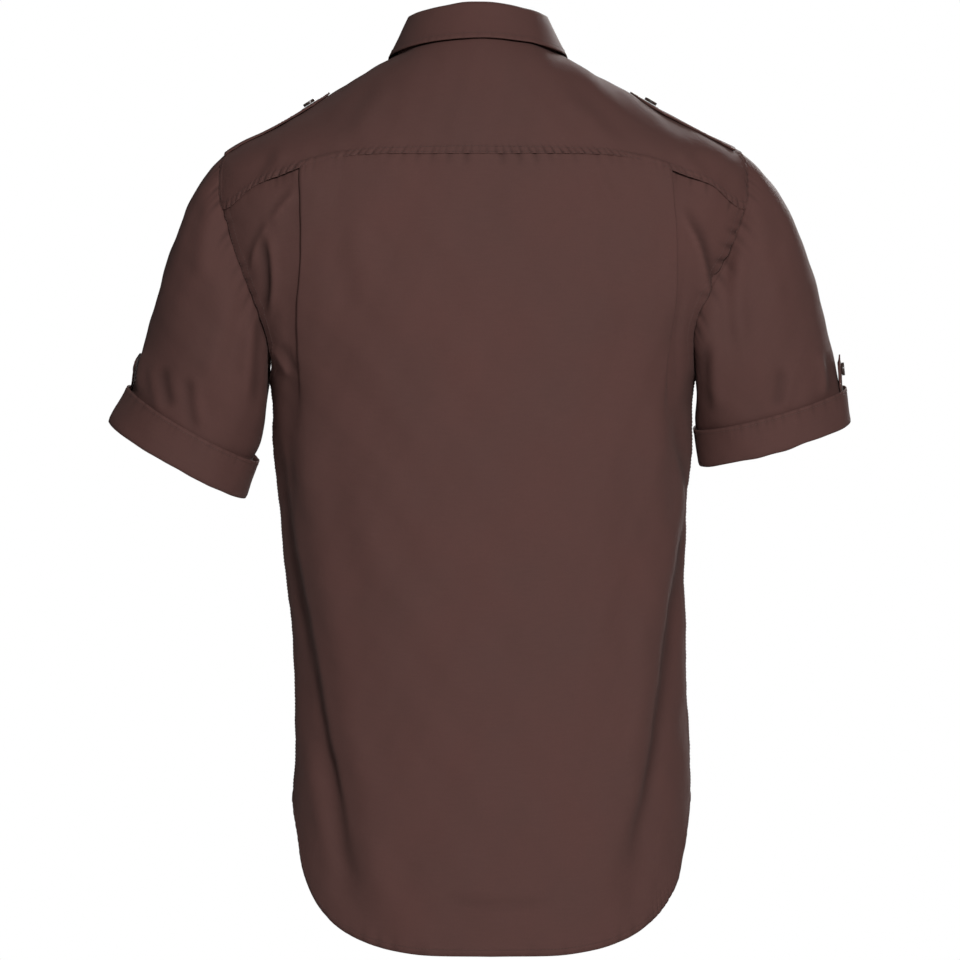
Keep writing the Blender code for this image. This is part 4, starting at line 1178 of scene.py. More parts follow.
def weave_group():
    """Threads over and under each other, a little uneven, with slubs."""
    name = "Plain weave"
    if name in bpy.data.node_groups:
        return bpy.data.node_groups[name]
    inputs = (("Vector", "NodeSocketVector", None), ("Threads per metre", "NodeSocketFloat", 2200.0))
    group, start, end = make_group(name, inputs, (("Height", "NodeSocketFloat"), ("Slub", "NodeSocketFloat")))
    vector = start.outputs["Vector"]
    parts = group.nodes.new("ShaderNodeSeparateXYZ")
    group.links.new(vector, parts.inputs[0])
    turns = math_node(group, "MULTIPLY", start.outputs["Threads per metre"], 2.0 * math.pi)
    wobble = noise_node(group, vector, 140.0, 2.0)
    shift = math_node(group, "MULTIPLY", wobble, 5.0)
    waves = []
    for axis in parts.outputs[:2]:
        along = math_node(group, "MULTIPLY", axis, turns)
        waves.append(math_node(group, "SINE", math_node(group, "ADD", along, shift)))
    height = math_node(group, "MULTIPLY", *waves)
    stretched = group.nodes.new("ShaderNodeMapping")
    stretched.inputs["Scale"].default_value = (60.0, 900.0, 1.0)
    group.links.new(vector, stretched.inputs["Vector"])
    slub = noise_node(group, stretched.outputs[0], 1.0, 2.0)
    group.links.new(height, end.inputs["Height"])
    group.links.new(slub, end.inputs["Slub"])
    return group


def mottle_group():
    """The cloth's uneven dye: wide clouds and small specks, about 0.5 on the whole."""
    name = "Uneven dye"
    if name in bpy.data.node_groups:
        return bpy.data.node_groups[name]
    inputs = (("Vector", "NodeSocketVector", None), ("Cloud scale", "NodeSocketFloat", 14.0))
    group, start, end = make_group(name, inputs, (("Cloud", "NodeSocketFloat"), ("Speck", "NodeSocketFloat")))
    vector = start.outputs["Vector"]
    cloud = noise_node(group, vector, start.outputs["Cloud scale"], 4.0, 0.55)
    speck = noise_node(group, vector, 900.0, 2.0)
    group.links.new(cloud, end.inputs["Cloud"])
    group.links.new(speck, end.inputs["Speck"])
    return group


def add_group(tree, group, vector, values):
    node = tree.nodes.new("ShaderNodeGroup")
    node.node_tree = group
    tree.links.new(vector, node.inputs["Vector"])
    for socket, value in values.items():
        node.inputs[socket].default_value = value
    return node


def mix_colour(tree, share, first, second):
    node = tree.nodes.new("ShaderNodeMix")
    node.data_type = "RGBA"
    for socket, value in ((node.inputs[0], share), (node.inputs[6], first), (node.inputs[7], second)):
        if isinstance(value, (tuple, float, int)):
            socket.default_value = value
        else:
            tree.links.new(value, socket)
    return node.outputs[2]


def spread(tree, value, low, high, to_low, to_high):
    """A value drawn from one range to another, and held at its ends."""
    node = tree.nodes.new("ShaderNodeMapRange")
    tree.links.new(value, node.inputs[0])
    for index, number in enumerate((low, high, to_low, to_high), start=1):
        node.inputs[index].default_value = number
    return node.outputs[0]


def shade(colour, share):
    return tuple(min(channel * share, 1.0) for channel in colour[:3]) + (1.0,)


def new_material(name):
    material = bpy.data.materials.new(name)
    material.use_nodes = True
    return material, material.node_tree, material.node_tree.nodes["Principled BSDF"]


def cloth_material():
    """Brown cotton and polyester cloth, plain woven, with a slight sheen."""
    name = "brown_shirt_cloth"
    if name in bpy.data.materials:
        return bpy.data.materials[name]
    cloth = bpy.context.scene.shirt_cloth
    colour = tuple(cloth.colour) + (1.0,)
    material, tree, shader = new_material(name)
    place = tree.nodes.new("ShaderNodeTexCoord")
    threads = tree.nodes.new("ShaderNodeUVMap")
    threads.uv_map = "cloth"
    pitch = {"Threads per metre": 1.0 / cloth.thread_pitch}
    weave = add_group(tree, weave_group(), threads.outputs[0], pitch)
    dye = add_group(tree, mottle_group(), place.outputs["Object"], {"Cloud scale": 11.0})
    crease = tree.nodes.new("ShaderNodeAttribute")
    crease.attribute_name = "crease"
    edge = tree.nodes.new("ShaderNodeAttribute")
    edge.attribute_name = "edge"
    clouds = spread(tree, dye.outputs["Cloud"], 0.3, 0.7, 0.0, 1.0)
    warm = shade((colour[0] * 1.05, colour[1] * 0.98, colour[2] * 0.98), 1.03)
    mixed = mix_colour(tree, clouds, shade(colour, 0.95), warm)
    slubs = spread(tree, weave.outputs["Slub"], 0.3, 0.75, 0.0, 0.35)
    mixed = mix_colour(tree, slubs, mixed, shade(colour, 1.16))
    specks = spread(tree, dye.outputs["Speck"], 0.35, 0.7, 0.0, 0.3)
    mixed = mix_colour(tree, specks, mixed, shade(colour, 0.84))
    worn = math_node(tree, "MULTIPLY", edge.outputs["Fac"], 0.30)
    mixed = mix_colour(tree, worn, mixed, shade(colour, 1.30))
    # Crease ridges painted lighter, partly as wear and partly as a painted highlight
    ridge_wear_and_highlight = math_node(tree, "MULTIPLY", crease.outputs["Fac"], 0.45)
    mixed = mix_colour(tree, ridge_wear_and_highlight, mixed, shade(colour, 1.45))
    # Painted shade: the troughs of creases and puckers are darkened towards a third of the cloth's colour
    hollow = tree.nodes.new("ShaderNodeAttribute")
    hollow.attribute_name = "hollow"
    sunk = math_node(tree, "MULTIPLY", hollow.outputs["Fac"], 0.75)
    mixed = mix_colour(tree, sunk, mixed, shade(colour, 0.35))
    tree.links.new(mixed, shader.inputs["Base Color"])
    rough = spread(tree, dye.outputs["Cloud"], 0.2, 0.8, 0.70, 0.82)
    tree.links.new(rough, shader.inputs["Roughness"])
    shader.inputs["Specular IOR Level"].default_value = 0.18
    shader.inputs["Sheen Weight"].default_value = 0.05
    shader.inputs["Sheen Roughness"].default_value = 0.5
    shader.inputs["Sheen Tint"].default_value = (0.75, 0.55, 0.5, 1.0)
    fine = tree.nodes.new("ShaderNodeBump")
    fine.inputs["Strength"].default_value = 0.35
    fine.inputs["Distance"].default_value = cloth.thread_pitch * 0.3
    tree.links.new(weave.outputs["Height"], fine.inputs["Height"])
    coarse = tree.nodes.new("ShaderNodeBump")
    coarse.inputs["Strength"].default_value = 0.3
    coarse.inputs["Distance"].default_value = 0.0006
    tree.links.new(noise_node(tree, place.outputs["Object"], 95.0, 3.0), coarse.inputs["Height"])
    tree.links.new(fine.outputs[0], coarse.inputs["Normal"])
    tree.links.new(coarse.outputs[0], shader.inputs["Normal"])
    return material


def thread_material():
    """Sewing thread, a shade darker than the cloth, twisted."""
    name = "brown_sewing_thread"
    if name in bpy.data.materials:
        return bpy.data.materials[name]
    colour = tuple(bpy.context.scene.shirt_sewing.thread_colour) + (1.0,)
    material, tree, shader = new_material(name)
    place = tree.nodes.new("ShaderNodeTexCoord")
    dye = add_group(tree, mottle_group(), place.outputs["Object"], {"Cloud scale": 300.0})
    mixed = mix_colour(tree, dye.outputs["Speck"], shade(colour, 0.8), shade(colour, 1.2))
    tree.links.new(mixed, shader.inputs["Base Color"])
    tree.links.new(spread(tree, dye.outputs["Cloud"], 0.3, 0.7, 0.5, 0.65), shader.inputs["Roughness"])
    twist = tree.nodes.new("ShaderNodeBump")
    twist.inputs["Strength"].default_value = 0.4
    twist.inputs["Distance"].default_value = 0.0001
    tree.links.new(noise_node(tree, place.outputs["Object"], 4000.0, 2.0), twist.inputs["Height"])
    tree.links.new(twist.outputs[0], shader.inputs["Normal"])
    return material


def button_material():
    """Dark brown pressed plastic with faint streaks, dulled by washing."""
    name = "dark_button_plastic"
    if name in bpy.data.materials:
        return bpy.data.materials[name]
    colour = tuple(bpy.context.scene.shirt_buttons.colour) + (1.0,)
    material, tree, shader = new_material(name)
    place = tree.nodes.new("ShaderNodeTexCoord")
    streak = tree.nodes.new("ShaderNodeMapping")
    streak.inputs["Scale"].default_value = (1.0, 1.0, 4.0)
    tree.links.new(place.outputs["Object"], streak.inputs["Vector"])
    dye = add_group(tree, mottle_group(), streak.outputs[0], {"Cloud scale": 260.0})
    streaks = spread(tree, dye.outputs["Cloud"], 0.35, 0.7, 0.0, 1.0)
    mixed = mix_colour(tree, streaks, shade(colour, 0.7), shade(colour, 1.7))
    tree.links.new(mixed, shader.inputs["Base Color"])
    tree.links.new(spread(tree, dye.outputs["Speck"], 0.3, 0.7, 0.28, 0.42), shader.inputs["Roughness"])
    shader.inputs["Coat Weight"].default_value = 0.15
    marks = tree.nodes.new("ShaderNodeBump")
    marks.inputs["Strength"].default_value = 0.15
    marks.inputs["Distance"].default_value = 0.0001
    tree.links.new(dye.outputs["Speck"], marks.inputs["Height"])
    tree.links.new(marks.outputs[0], shader.inputs["Normal"])
    return material


# Dressed forms

def dressed(points, cloth, phase, rows=(), creases=None, front_creases=None, around=False, swell=1.0):
    """A form with its creases, gathers and welts, and the masks for its material, painted shade among them.
    """
    normals = grid_normals(points, around)
    relief = swell * cloth.swell * swell_relief(points)
    sharp = np.zeros(points.shape[:-1])
    hollow = np.zeros(points.shape[:-1])
    for marks, facing in ((creases, normals[..., 1]), (front_creases, -normals[..., 1])):
        if marks:
            # The troughs' mask is painted shade; the ridges' mask is painted lighter as wear and highlight
            more, ridges, troughs = crease_relief(points, facing, marks)
            relief += cloth.creases * more
            sharp = np.maximum(sharp, ridges)
            hollow = np.maximum(hollow, troughs)
    # The puckers' mask is painted shade too
    more, puckers = sewn_relief(points, rows, cloth.gathers, phase)
    relief += more
    hollow = np.maximum(hollow, puckers)
    edge = np.zeros(points.shape[:-1])
    for row in rows:
        distance, along = from_edge(points, row.edge)
        worn = 0.6 + 0.4 * ripple(along, phase + 2.0)
        edge = np.maximum(edge, np.exp(-(distance / 1.6) ** 2) * worn)
    masks = {"crease": sharp, "edge": np.clip(edge, 0.0, 1.0), "hollow": hollow}
    return points + normals * relief[..., None], masks


def padded_masks(masks, edge):
    """The masks carried on over the rows that tucked adds."""
    result = {}
    for name, mask in masks.items():
        lines = turned(mask, edge)
        result[name] = turned_back(np.concatenate([lines[:1], lines[:1], lines[:1], lines]), edge)
    return result


def tuck(grid, masks, tucks):
    for edge, reach, sink in tucks:
        grid = tucked(grid, edge, reach, sink)
        masks = padded_masks(masks, edge)
    return grid, masks


def dressed_back(cloth):
    rows = (Sewn("top", 7.0, 0.5, 0.1, 0.0), Sewn("bottom", 10.0, 0.4, 7.0, 0.55),
            Sewn("first", 10.0, 1.0, 8.0, 0.45), Sewn("last", 10.0, 1.0, 8.0, 0.45))
    return dressed(back_points(), cloth, 0.7, rows, BACK_CREASES)


def dressed_yoke(cloth):
    rows = (Sewn("bottom", 7.0, 1.2, 7.0, 0.5), Sewn("first", 8.0, 0.9, 6.0, 0.4),
            Sewn("last", 8.0, 0.9, 6.0, 0.4))
    points = yoke_points()
    normals = grid_normals(points)
    distance, _ = from_edge(points, "bottom")
    pleats = np.zeros(points.shape[:-1])
    for pleat_x in (158.0, -166.0):
        at_back = smooth_step(40.0, 70.0, points[..., 1])
        pleats += np.exp(-((points[..., 0] - pleat_x) / 12.0) ** 2) * at_back
    lift = 0.75 + 1.2 * pleats * np.exp(-(distance / 9.0) ** 2)
    return dressed(points + normals * lift[..., None], cloth, 2.9, rows, YOKE_CREASES)


def dressed_front(name, cloth):
    side = ARMHOLES[name].side
    outer, inner = ("last", "first") if side < 0 else ("first", "last")
    rows = (Sewn("bottom", 9.0, 0.55, 7.0, 0.55), Sewn(outer, 9.0, 0.5, 7.0, 0.3),
            Sewn(inner, 6.0, 0.2, 0.1, 0.0))
    return dressed(front_points(name), cloth, 4.4 + side, rows, None, FRONT_CREASES)


# Settings

def length(name, description, low, high, default):
    return bpy.props.FloatProperty(name=name, description=description, unit="LENGTH",
                                   min=low, max=high, default=default)


class ShirtCloth(bpy.types.PropertyGroup):
    colour: bpy.props.FloatVectorProperty(name="Colour", description="The cloth's colour", subtype="COLOR",
                                          size=3, min=0.0, max=1.0, default=(0.098, 0.046, 0.040))
    wall: length("Thickness", "One layer of cloth", 0.0003, 0.0012, 0.0007)
    thread_pitch: length("Thread pitch", "From one thread of the weave to the next", 0.0002, 0.002, 0.00055)
    creases: bpy.props.FloatProperty(name="Creases", description="How deep the creases are", subtype="FACTOR",
                                     min=0.0, max=2.0, default=1.0)
    gathers: bpy.props.FloatProperty(name="Gathers", description="How much the seams draw the cloth up",
                                     subtype="FACTOR", min=0.0, max=2.0, default=1.0)
    swell: bpy.props.FloatProperty(name="Swell", description="The slow unevenness of the whole cloth",
                                   subtype="FACTOR", min=0.0, max=2.0, default=1.0)


class ShirtSewing(bpy.types.PropertyGroup):
    thread_colour: bpy.props.FloatVectorProperty(name="Thread colour", subtype="COLOR", size=3,
                                                 description="The sewing thread's colour", min=0.0, max=1.0,
                                                 default=(0.075, 0.036, 0.030))
    thread_width: length("Thread width", "The sewing thread's width", 0.0002, 0.002, 0.00055)
    stitch_pitch: length("Stitch pitch", "From one stitch to the next", 0.001, 0.01, 0.0030)
    stitch_length: length("Stitch length", "The part of a stitch that shows", 0.001, 0.01, 0.0023)
    edge_row: length("Edge row", "From an edge to its first row of stitches", 0.0005, 0.01, 0.0016)
    welt_row: length("Welt row", "From an edge to its second row of stitches", 0.002, 0.02, 0.0065)


class ShirtButtons(bpy.types.PropertyGroup):
    colour: bpy.props.FloatVectorProperty(name="Colour", description="The buttons' colour", subtype="COLOR",
                                          size=3, min=0.0, max=1.0, default=(0.035, 0.021, 0.017))
    radius: length("Radius", "A button's radius", 0.003, 0.01, BUTTON_RADIUS * MM)
    height: length("Height", "A button's thickness", 0.001, 0.005, BUTTON_THICKNESS * MM)
    hole: length("Hole", "The radius of each of its four holes", 0.0003, 0.002, 0.0009)


class ShirtStage(bpy.types.PropertyGroup):
    camera_distance: length("Camera distance", "From the shirt to the camera", 2.0, 20.0, 14.0)
    floor_drop: length("Floor drop", "From the shoulders down to the floor", 0.8, 3.0, 1.45)
    light: bpy.props.FloatProperty(name="Light", description="The strength of the main light, in watts",
                                   min=0.0, max=5000.0, default=108.0)
    air: bpy.props.FloatProperty(name="Air light", description="The strength of the light from all round",
                                 min=0.0, max=5.0, default=0.13)


def stitch_ends(sewing):
    return sewing.edge_row / MM, sewing.welt_row / MM


# Operators, one for each piece or group of pieces

class MakeBack(bpy.types.Operator):
    """Make the back with its pleats, folds and hem"""
    bl_idname = "shirt.make_back"
    bl_label = "Back"

    def execute(self, context):
        cloth, sewing = context.scene.shirt_cloth, context.scene.shirt_sewing
        near, far = stitch_ends(sewing)
        grid, masks = dressed_back(cloth)
        paths = [without_ends(seam_line(grid, edge, distance), 3.0, 5.0)
                 for edge in ("first", "last") for distance in (near, far + 1.5)]
        paths.append(without_ends(seam_line(grid, "bottom", 5.6), 4.0, 4.0))
        sewn = add_stitching("back_panel_stitching", paths, sewing)
        grid, masks = tuck(grid, masks, (("top", 6.0, 0.3),))
        add_sheet("back_panel_cloth", grid, "back_panel", cloth, masks)
        return {"FINISHED"}


class MakeYoke(bpy.types.Operator):
    """Make the yoke over the shoulders"""
    bl_idname = "shirt.make_yoke"
    bl_label = "Yoke"

    def execute(self, context):
        cloth, sewing = context.scene.shirt_cloth, context.scene.shirt_sewing
        near, far = stitch_ends(sewing)
        grid, masks = dressed_yoke(cloth)
        paths = [without_ends(seam_line(grid, "bottom", distance), 3.0, 3.0) for distance in (near, far)]
        paths += [without_ends(seam_line(grid, edge, distance), 4.0, 4.0)
                  for edge in ("first", "last") for distance in (near, far)]
        sewn = add_stitching("back_yoke_stitching", paths, sewing)
        add_sheet("back_yoke_cloth", grid, "back_yoke", cloth, masks)
        return {"FINISHED"}


class MakeFronts(bpy.types.Operator):
    """Make the two fronts"""
    bl_idname = "shirt.make_fronts"
    bl_label = "Fronts"

    def execute(self, context):
        cloth, sewing = context.scene.shirt_cloth, context.scene.shirt_sewing
        near, far = stitch_ends(sewing)
        for name in ("left", "right"):
            outer = "last" if ARMHOLES[name].side < 0 else "first"
            grid, masks = dressed_front(name, cloth)
            paths = [without_ends(seam_line(grid, outer, distance), 3.0, 5.0) for distance in (near, far)]
            paths.append(without_ends(seam_line(grid, "bottom", 5.6), 4.0, 4.0))
            sewn = add_stitching(f"{name}_front_stitching", paths, sewing)
            grid, masks = tuck(grid, masks, (("top", 6.0, 0.5), (outer, 3.0, 0.7)))
            add_sheet(f"{name}_front_cloth", grid, f"{name}_front", cloth, masks)
        return {"FINISHED"}


class MakeBand(bpy.types.Operator):
    """Make the buttonhole band and its stitching"""
    bl_idname = "shirt.make_band"
    bl_label = "Front band"

    def execute(self, context):
        cloth, sewing = context.scene.shirt_cloth, context.scene.shirt_sewing
        rows = (Sewn("first", 6.0, 0.3, 3.0, 0.2), Sewn("last", 6.0, 0.3, 3.0, 0.2),
                Sewn("bottom", 8.0, 0.3, 7.0, 0.3))
        points, masks = dressed(band_points(), cloth, 5.2, rows, None, FRONT_CREASES)
        paths = [without_ends(seam_line(points, edge, 4.5), 3.0, 3.0) for edge in ("first", "last")]
        sewn = add_stitching("front_band_stitching", paths, sewing)
        grid, masks = tuck(points, masks, (("first", 0.5, 1.1), ("last", 0.5, 1.1), ("top", 3.0, 0.4)))
        add_sheet("front_band_cloth", grid, "front_band", cloth, masks,
                  wall=0.0009)
        return {"FINISHED"}


class MakeCollar(bpy.types.Operator):
    """Make the collar's stand and its turned-down leaf"""
    bl_idname = "shirt.make_collar"
    bl_label = "Collar"

    def execute(self, context):
        cloth, sewing = context.scene.shirt_cloth, context.scene.shirt_sewing
        grid, masks = dressed(stand_points(), cloth, 1.1, (Sewn("bottom", 4.0, 0.2, 2.5, 0.2),), swell=0.2)
        sewn = add_stitching("collar_stand_stitching", [seam_line(grid, "bottom", 2.4)], sewing, 0.55)
        add_sheet("collar_stand_cloth", grid, "collar_stand", cloth, masks,
                  wall=0.0011)
        rows = (Sewn("bottom", 6.0, 0.3, 5.0, 0.25), Sewn("first", 6.0, 0.2, 5.0, 0.25),
                Sewn("last", 6.0, 0.2, 5.0, 0.25))
        grid, masks = dressed(leaf_points(), cloth, 3.6, rows, swell=0.5)
        paths = [without_ends(seam_line(grid, "bottom", 5.0), 5.0, 5.0)]
        paths += [without_ends(seam_line(grid, edge, 5.0), 6.0, 5.0) for edge in ("first", "last")]
        sewn = add_stitching("collar_leaf_stitching", paths, sewing, 0.5)
        add_sheet("collar_leaf_cloth", grid, "collar_leaf", cloth, masks,
                  wall=0.0010)
        return {"FINISHED"}


class MakeSleeves(bpy.types.Operator):
    """Make the two sleeves"""
    bl_idname = "shirt.make_sleeves"
    bl_label = "Sleeves"

    def execute(self, context):
        cloth = context.scene.shirt_cloth
        for name in ("left", "right"):
            rows = (Sewn("top", 12.0, 0.7, 0.1, 0.0),)
            grid, masks = dressed(sleeve_points(name), cloth, 6.1 + ARMHOLES[name].side, rows,
                                  SLEEVE_BACK_CREASES, SLEEVE_FRONT_CREASES, around=True)
            grid, masks = tuck(grid, masks, (("top", 7.0, 0.6),))
            add_sheet(f"{name}_sleeve_cloth", grid, f"{name}_sleeve", cloth,
                      masks, around=True)
        return {"FINISHED"}


class MakeCuffs(bpy.types.Operator):
    """Make the sleeves' turned-up cuffs"""
    bl_idname = "shirt.make_cuffs"
    bl_label = "Cuffs"

    def execute(self, context):
        cloth, sewing = context.scene.shirt_cloth, context.scene.shirt_sewing
        for name in ("left", "right"):
            rows = (Sewn("top", 9.0, 0.45, 3.0, 0.25),)
            grid, masks = dressed(cuff_points(name), cloth, 7.3 + ARMHOLES[name].side, rows,
                                  SLEEVE_BACK_CREASES, SLEEVE_FRONT_CREASES, around=True, swell=0.8)
            path = closed_path(seam_line(grid, "top", 3.2, around=True))
            sewn = add_stitching(f"{name}_cuff_stitching", [path], sewing, 0.4)
            add_sheet(f"{name}_cuff_cloth", grid, f"{name}_cuff", cloth,
                      masks, around=True, wall=0.0009)
        return {"FINISHED"}


class MakeStraps(bpy.types.Operator):
    """Make the shoulder straps"""
    bl_idname = "shirt.make_straps"
    bl_label = "Shoulder straps"

    def execute(self, context):
        cloth, sewing = context.scene.shirt_cloth, context.scene.shirt_sewing
        for name in ("left", "right"):
            rows = tuple(Sewn(edge, 5.0, 0.35, 4.0, 0.25) for edge in ("first", "last", "bottom"))
            side = ARMHOLES[name].side
            grid, masks = dressed(strap_points(side), cloth, 8.8 + side, rows, swell=0.5)
            paths = [without_ends(seam_line(grid, row.edge, 2.6), 2.0, 4.0) for row in rows]
            sewn = add_stitching(f"{name}_epaulette_stitching", paths, sewing, 0.7)
            add_sheet(f"{name}_epaulette_cloth", grid, f"{name}_epaulette",
                      cloth, masks, wall=0.0014)
        return {"FINISHED"}


class MakeTabs(bpy.types.Operator):
    """Make the sleeves' button tabs"""
    bl_idname = "shirt.make_tabs"
    bl_label = "Sleeve tabs"

    def execute(self, context):
        cloth, sewing = context.scene.shirt_cloth, context.scene.shirt_sewing
        for name in ("left", "right"):
            rows = tuple(Sewn(edge, 4.0, 0.2, 3.0, 0.2) for edge in ("first", "last", "top"))
            grid, masks = dressed(tab_points(name), cloth, 9.9 + ARMHOLES[name].side, rows, swell=0.3)
            paths = [without_ends(seam_line(grid, edge, 2.4), 4.0, 1.0) for edge in ("first", "last")]
            sewn = add_stitching(f"{name}_sleeve_tab_stitching", paths, sewing, 0.5)
            add_sheet(f"{name}_sleeve_tab_cloth", grid, f"{name}_sleeve_tab",
                      cloth, masks, wall=0.0011)
        return {"FINISHED"}


class MakeButtons(bpy.types.Operator):
    """Make the buttons, their thread and their buttonholes"""
    bl_idname = "shirt.make_buttons"
    bl_label = "Buttons"

    def execute(self, context):
        settings, sewing = context.scene.shirt_buttons, context.scene.shirt_sewing
        pattern = model_button(settings)
        holes = []
        threads = []
        for place in button_places():
            add_button(place, pattern)
            threads += button_threads(place, settings)
            holes += place.hole
        bpy.data.objects.remove(pattern, do_unlink=True)
        add_stitching("button_threads", threads, sewing, 0.0, pitch=9.0, length=HOLE_GAP * 2 + 1.3)
        add_stitching("buttonholes", holes, sewing, 0.1, pitch=0.5, length=1.5, crosswise=True)
        return {"FINISHED"}


class MakeStage(bpy.types.Operator):
    """Make the floor, the lights and the camera"""
    bl_idname = "shirt.make_stage"
    bl_label = "Stage"

    def execute(self, context):
        stage = context.scene.shirt_stage
        add_camera(stage)
        add_floor(stage)
        add_lights(stage)
        return {"FINISHED"}


# Buttons

HOLE_GAP = 1.45            # from the middle of a button to its holes, sideways and lengthways
HOLE_LENGTH = 7.5          # half of a buttonhole's length
HOLE_LIP = 0.75            # from the middle of a buttonhole to the middle of its stitches
ButtonPlace = namedtuple("ButtonPlace", "name point normal hole")


def select_faces(mesh_object, chosen):
    """Selects the faces of an object in edit mode that a test names."""
    bpy.ops.mesh.select_all(action="DESELECT")
    bpy.ops.object.mode_set(mode="OBJECT")
    for face in mesh_object.data.polygons:
        face.select = chosen(face)
    bpy.ops.object.mode_set(mode="EDIT")


def model_button(settings):
    """A pressed four-hole button with a rolled rim, on its back at the origin."""
    bpy.ops.object.select_all(action="DESELECT")
    bpy.ops.mesh.primitive_cylinder_add(vertices=48, radius=settings.radius, depth=settings.height,
                                        location=(0.0, 0.0, settings.height / 2))
    button = bpy.context.active_object
    button.name = "button_pattern"
    bpy.ops.object.transform_apply(location=True, rotation=True, scale=True)
    bpy.ops.object.mode_set(mode="EDIT")
    bpy.ops.mesh.select_mode(type="FACE")
    select_faces(button, lambda face: face.normal.z > 0.9)
    bpy.ops.mesh.inset(thickness=0.35 * MM, depth=0.0)
    bpy.ops.mesh.inset(thickness=0.9 * MM, depth=0.0)
    bpy.ops.mesh.inset(thickness=0.5 * MM, depth=-0.55 * MM)
    bpy.ops.mesh.inset(thickness=1.2 * MM, depth=-0.12 * MM)
    select_faces(button, lambda face: face.normal.z < -0.9)
    bpy.ops.mesh.inset(thickness=0.8 * MM, depth=0.0)
    bpy.ops.object.mode_set(mode="OBJECT")
    cut_holes(button, settings)
    rounded = button.modifiers.new("Rounded edges", "BEVEL")
    rounded.width = 0.22 * MM
    rounded.segments = 2
    rounded.limit_method = "ANGLE"
    rounded.angle_limit = math.radians(35.0)
    bpy.context.view_layer.objects.active = button
    bpy.ops.object.modifier_apply(modifier=rounded.name)
    button.data.shade_smooth()
    return button


def cut_holes(button, settings):
    """Drills the four holes through a button."""
    bpy.ops.object.select_all(action="DESELECT")
    drills = []
    for x in (-HOLE_GAP, HOLE_GAP):
        for y in (-HOLE_GAP, HOLE_GAP):
            bpy.ops.mesh.primitive_cylinder_add(vertices=16, radius=settings.hole, depth=settings.height * 4,
                                                location=(x * MM, y * MM, settings.height / 2))
            drills.append(bpy.context.active_object)
    for drill in drills:
        drill.select_set(True)
    bpy.context.view_layer.objects.active = drills[0]
    bpy.ops.object.join()
    drilled = button.modifiers.new("Holes", "BOOLEAN")
    drilled.operation = "DIFFERENCE"
    drilled.object = drills[0]
    bpy.ops.object.select_all(action="DESELECT")
    bpy.context.view_layer.objects.active = button
    bpy.ops.object.modifier_apply(modifier=drilled.name)
    bpy.data.objects.remove(drills[0], do_unlink=True)


def button_frame(place):
    """The matrix that carries a button from the origin to its place, in metres."""
    turn = Vector(place.normal).to_track_quat("Z", "Y").to_matrix().to_4x4()
    return Matrix.Translation(Vector(place.point) * MM) @ turn


def add_button(place, pattern):
    mesh = pattern.data.copy()
    mesh.name = place.name
    mesh.transform(button_frame(place))
    piece = add_piece(f"{place.name}_pressed", mesh, button_material())
    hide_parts(place.name)


def button_threads(place, settings):
    """The six threads that cross a button's middle between its holes."""
    frame_here = button_frame(place)
    lift = settings.height / MM - 0.40
    ends = []
    for side in (-HOLE_GAP, HOLE_GAP):
        for shift in (-0.35, 0.0, 0.35):
            line = [Vector((side + shift, y, lift)) * MM for y in (-HOLE_GAP - 0.65, HOLE_GAP + 0.65)]
            points = np.array([list(frame_here @ point) for point in line]) / MM
            ends.append((points, np.array([place.normal, place.normal], float)))
    return ends


def lips(points, outs, across):
    """The two long sides of a buttonhole."""
    side = np.asarray(across, float) * HOLE_LIP
    return [(points + side, outs), (points - side, outs)]


def button_places():
    """Where each button sits, as its solid does, with its buttonhole's two sides."""
    found = []
    steps = arc(-HOLE_LENGTH, HOLE_LENGTH, 10)
    for index, height in enumerate((-118.0, -207.0, -296.0, -385.0, -474.0, -563.0), start=1):
        point, normal = front_line(height, LAYER + WALL / 2 + 0.3)
        line, outs = front_line(height + steps, LAYER + 0.5)
        found.append(ButtonPlace(f"front_button_{index}", point.reshape(3), normal.reshape(3),
                                 lips(line, outs, (1.0, 0.0, 0.0))))
    turn = np.array(180.0)
    normal = unit(np.cross(np.array([-1.0, 0.0, 0.0]), stand_point(turn, 0.7) - stand_point(turn, 0.3)))
    point = stand_point(turn, 0.5) + normal * (LAYER / 2 + WALL / 2 + 0.3)
    found.append(ButtonPlace("collar_button", point, normal, []))
    for name in ("left", "right"):
        side = ARMHOLES[name].side
        point, normal = strap_point(side, 145.0, 0.0, 2.4 + WALL + 0.3)
        line = np.array([strap_point(side, 145.0 + step, 0.0, 2.4 + 0.75)[0] for step in steps])
        found.append(ButtonPlace(f"{name}_epaulette_button", point, normal,
                                 lips(line, np.tile(normal, (len(line), 1)), (0.0, 1.0, 0.0))))
        tab = tab_points(name)
        rows = np.linspace(5, 11, 7).astype(int)
        middle = tab[rows, 6]
        outs = grid_normals(tab)[rows, 6]
        across = unit(tab[8, 9] - tab[8, 3])
        normal = unit(outs.mean(axis=0))
        point = tab_button_point(name, tab) + normal * (WALL / 2 + 0.3)
        edges = lips(middle + outs * 0.6, outs, across)
        found.append(ButtonPlace(f"{name}_sleeve_button", point, normal, edges))
    return found


def tab_button_point(name, tab):
    """The middle of a sleeve tab's button, where its solid has it."""
    low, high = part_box(f"{name}_sleeve_button")
    centre = np.array((low + high) / 2) / MM
    middle = tab[:, 6]
    return middle[np.linalg.norm(middle - centre, axis=1).argmin()]


# The stage

PHOTO_SCALE = 0.8645         # millimetres of the shirt to one pixel of the photograph
PHOTO_PIXELS = 960
PHOTO_CENTRE_HEIGHT = -361.0
SENSOR = 36.0


def add_camera(stage):
    data = bpy.data.cameras.new("photo_camera")
    data.sensor_width = SENSOR
    data.lens = SENSOR * stage.camera_distance / (PHOTO_SCALE * PHOTO_PIXELS * MM)
    data.clip_end = 100.0
    camera = bpy.data.objects.new("photo_camera", data)
    camera.location = (0.0, stage.camera_distance, PHOTO_CENTRE_HEIGHT * MM)
    camera.rotation_euler = (math.pi / 2, 0.0, math.pi)
    bpy.context.scene.collection.objects.link(camera)
    bpy.context.scene.camera = camera


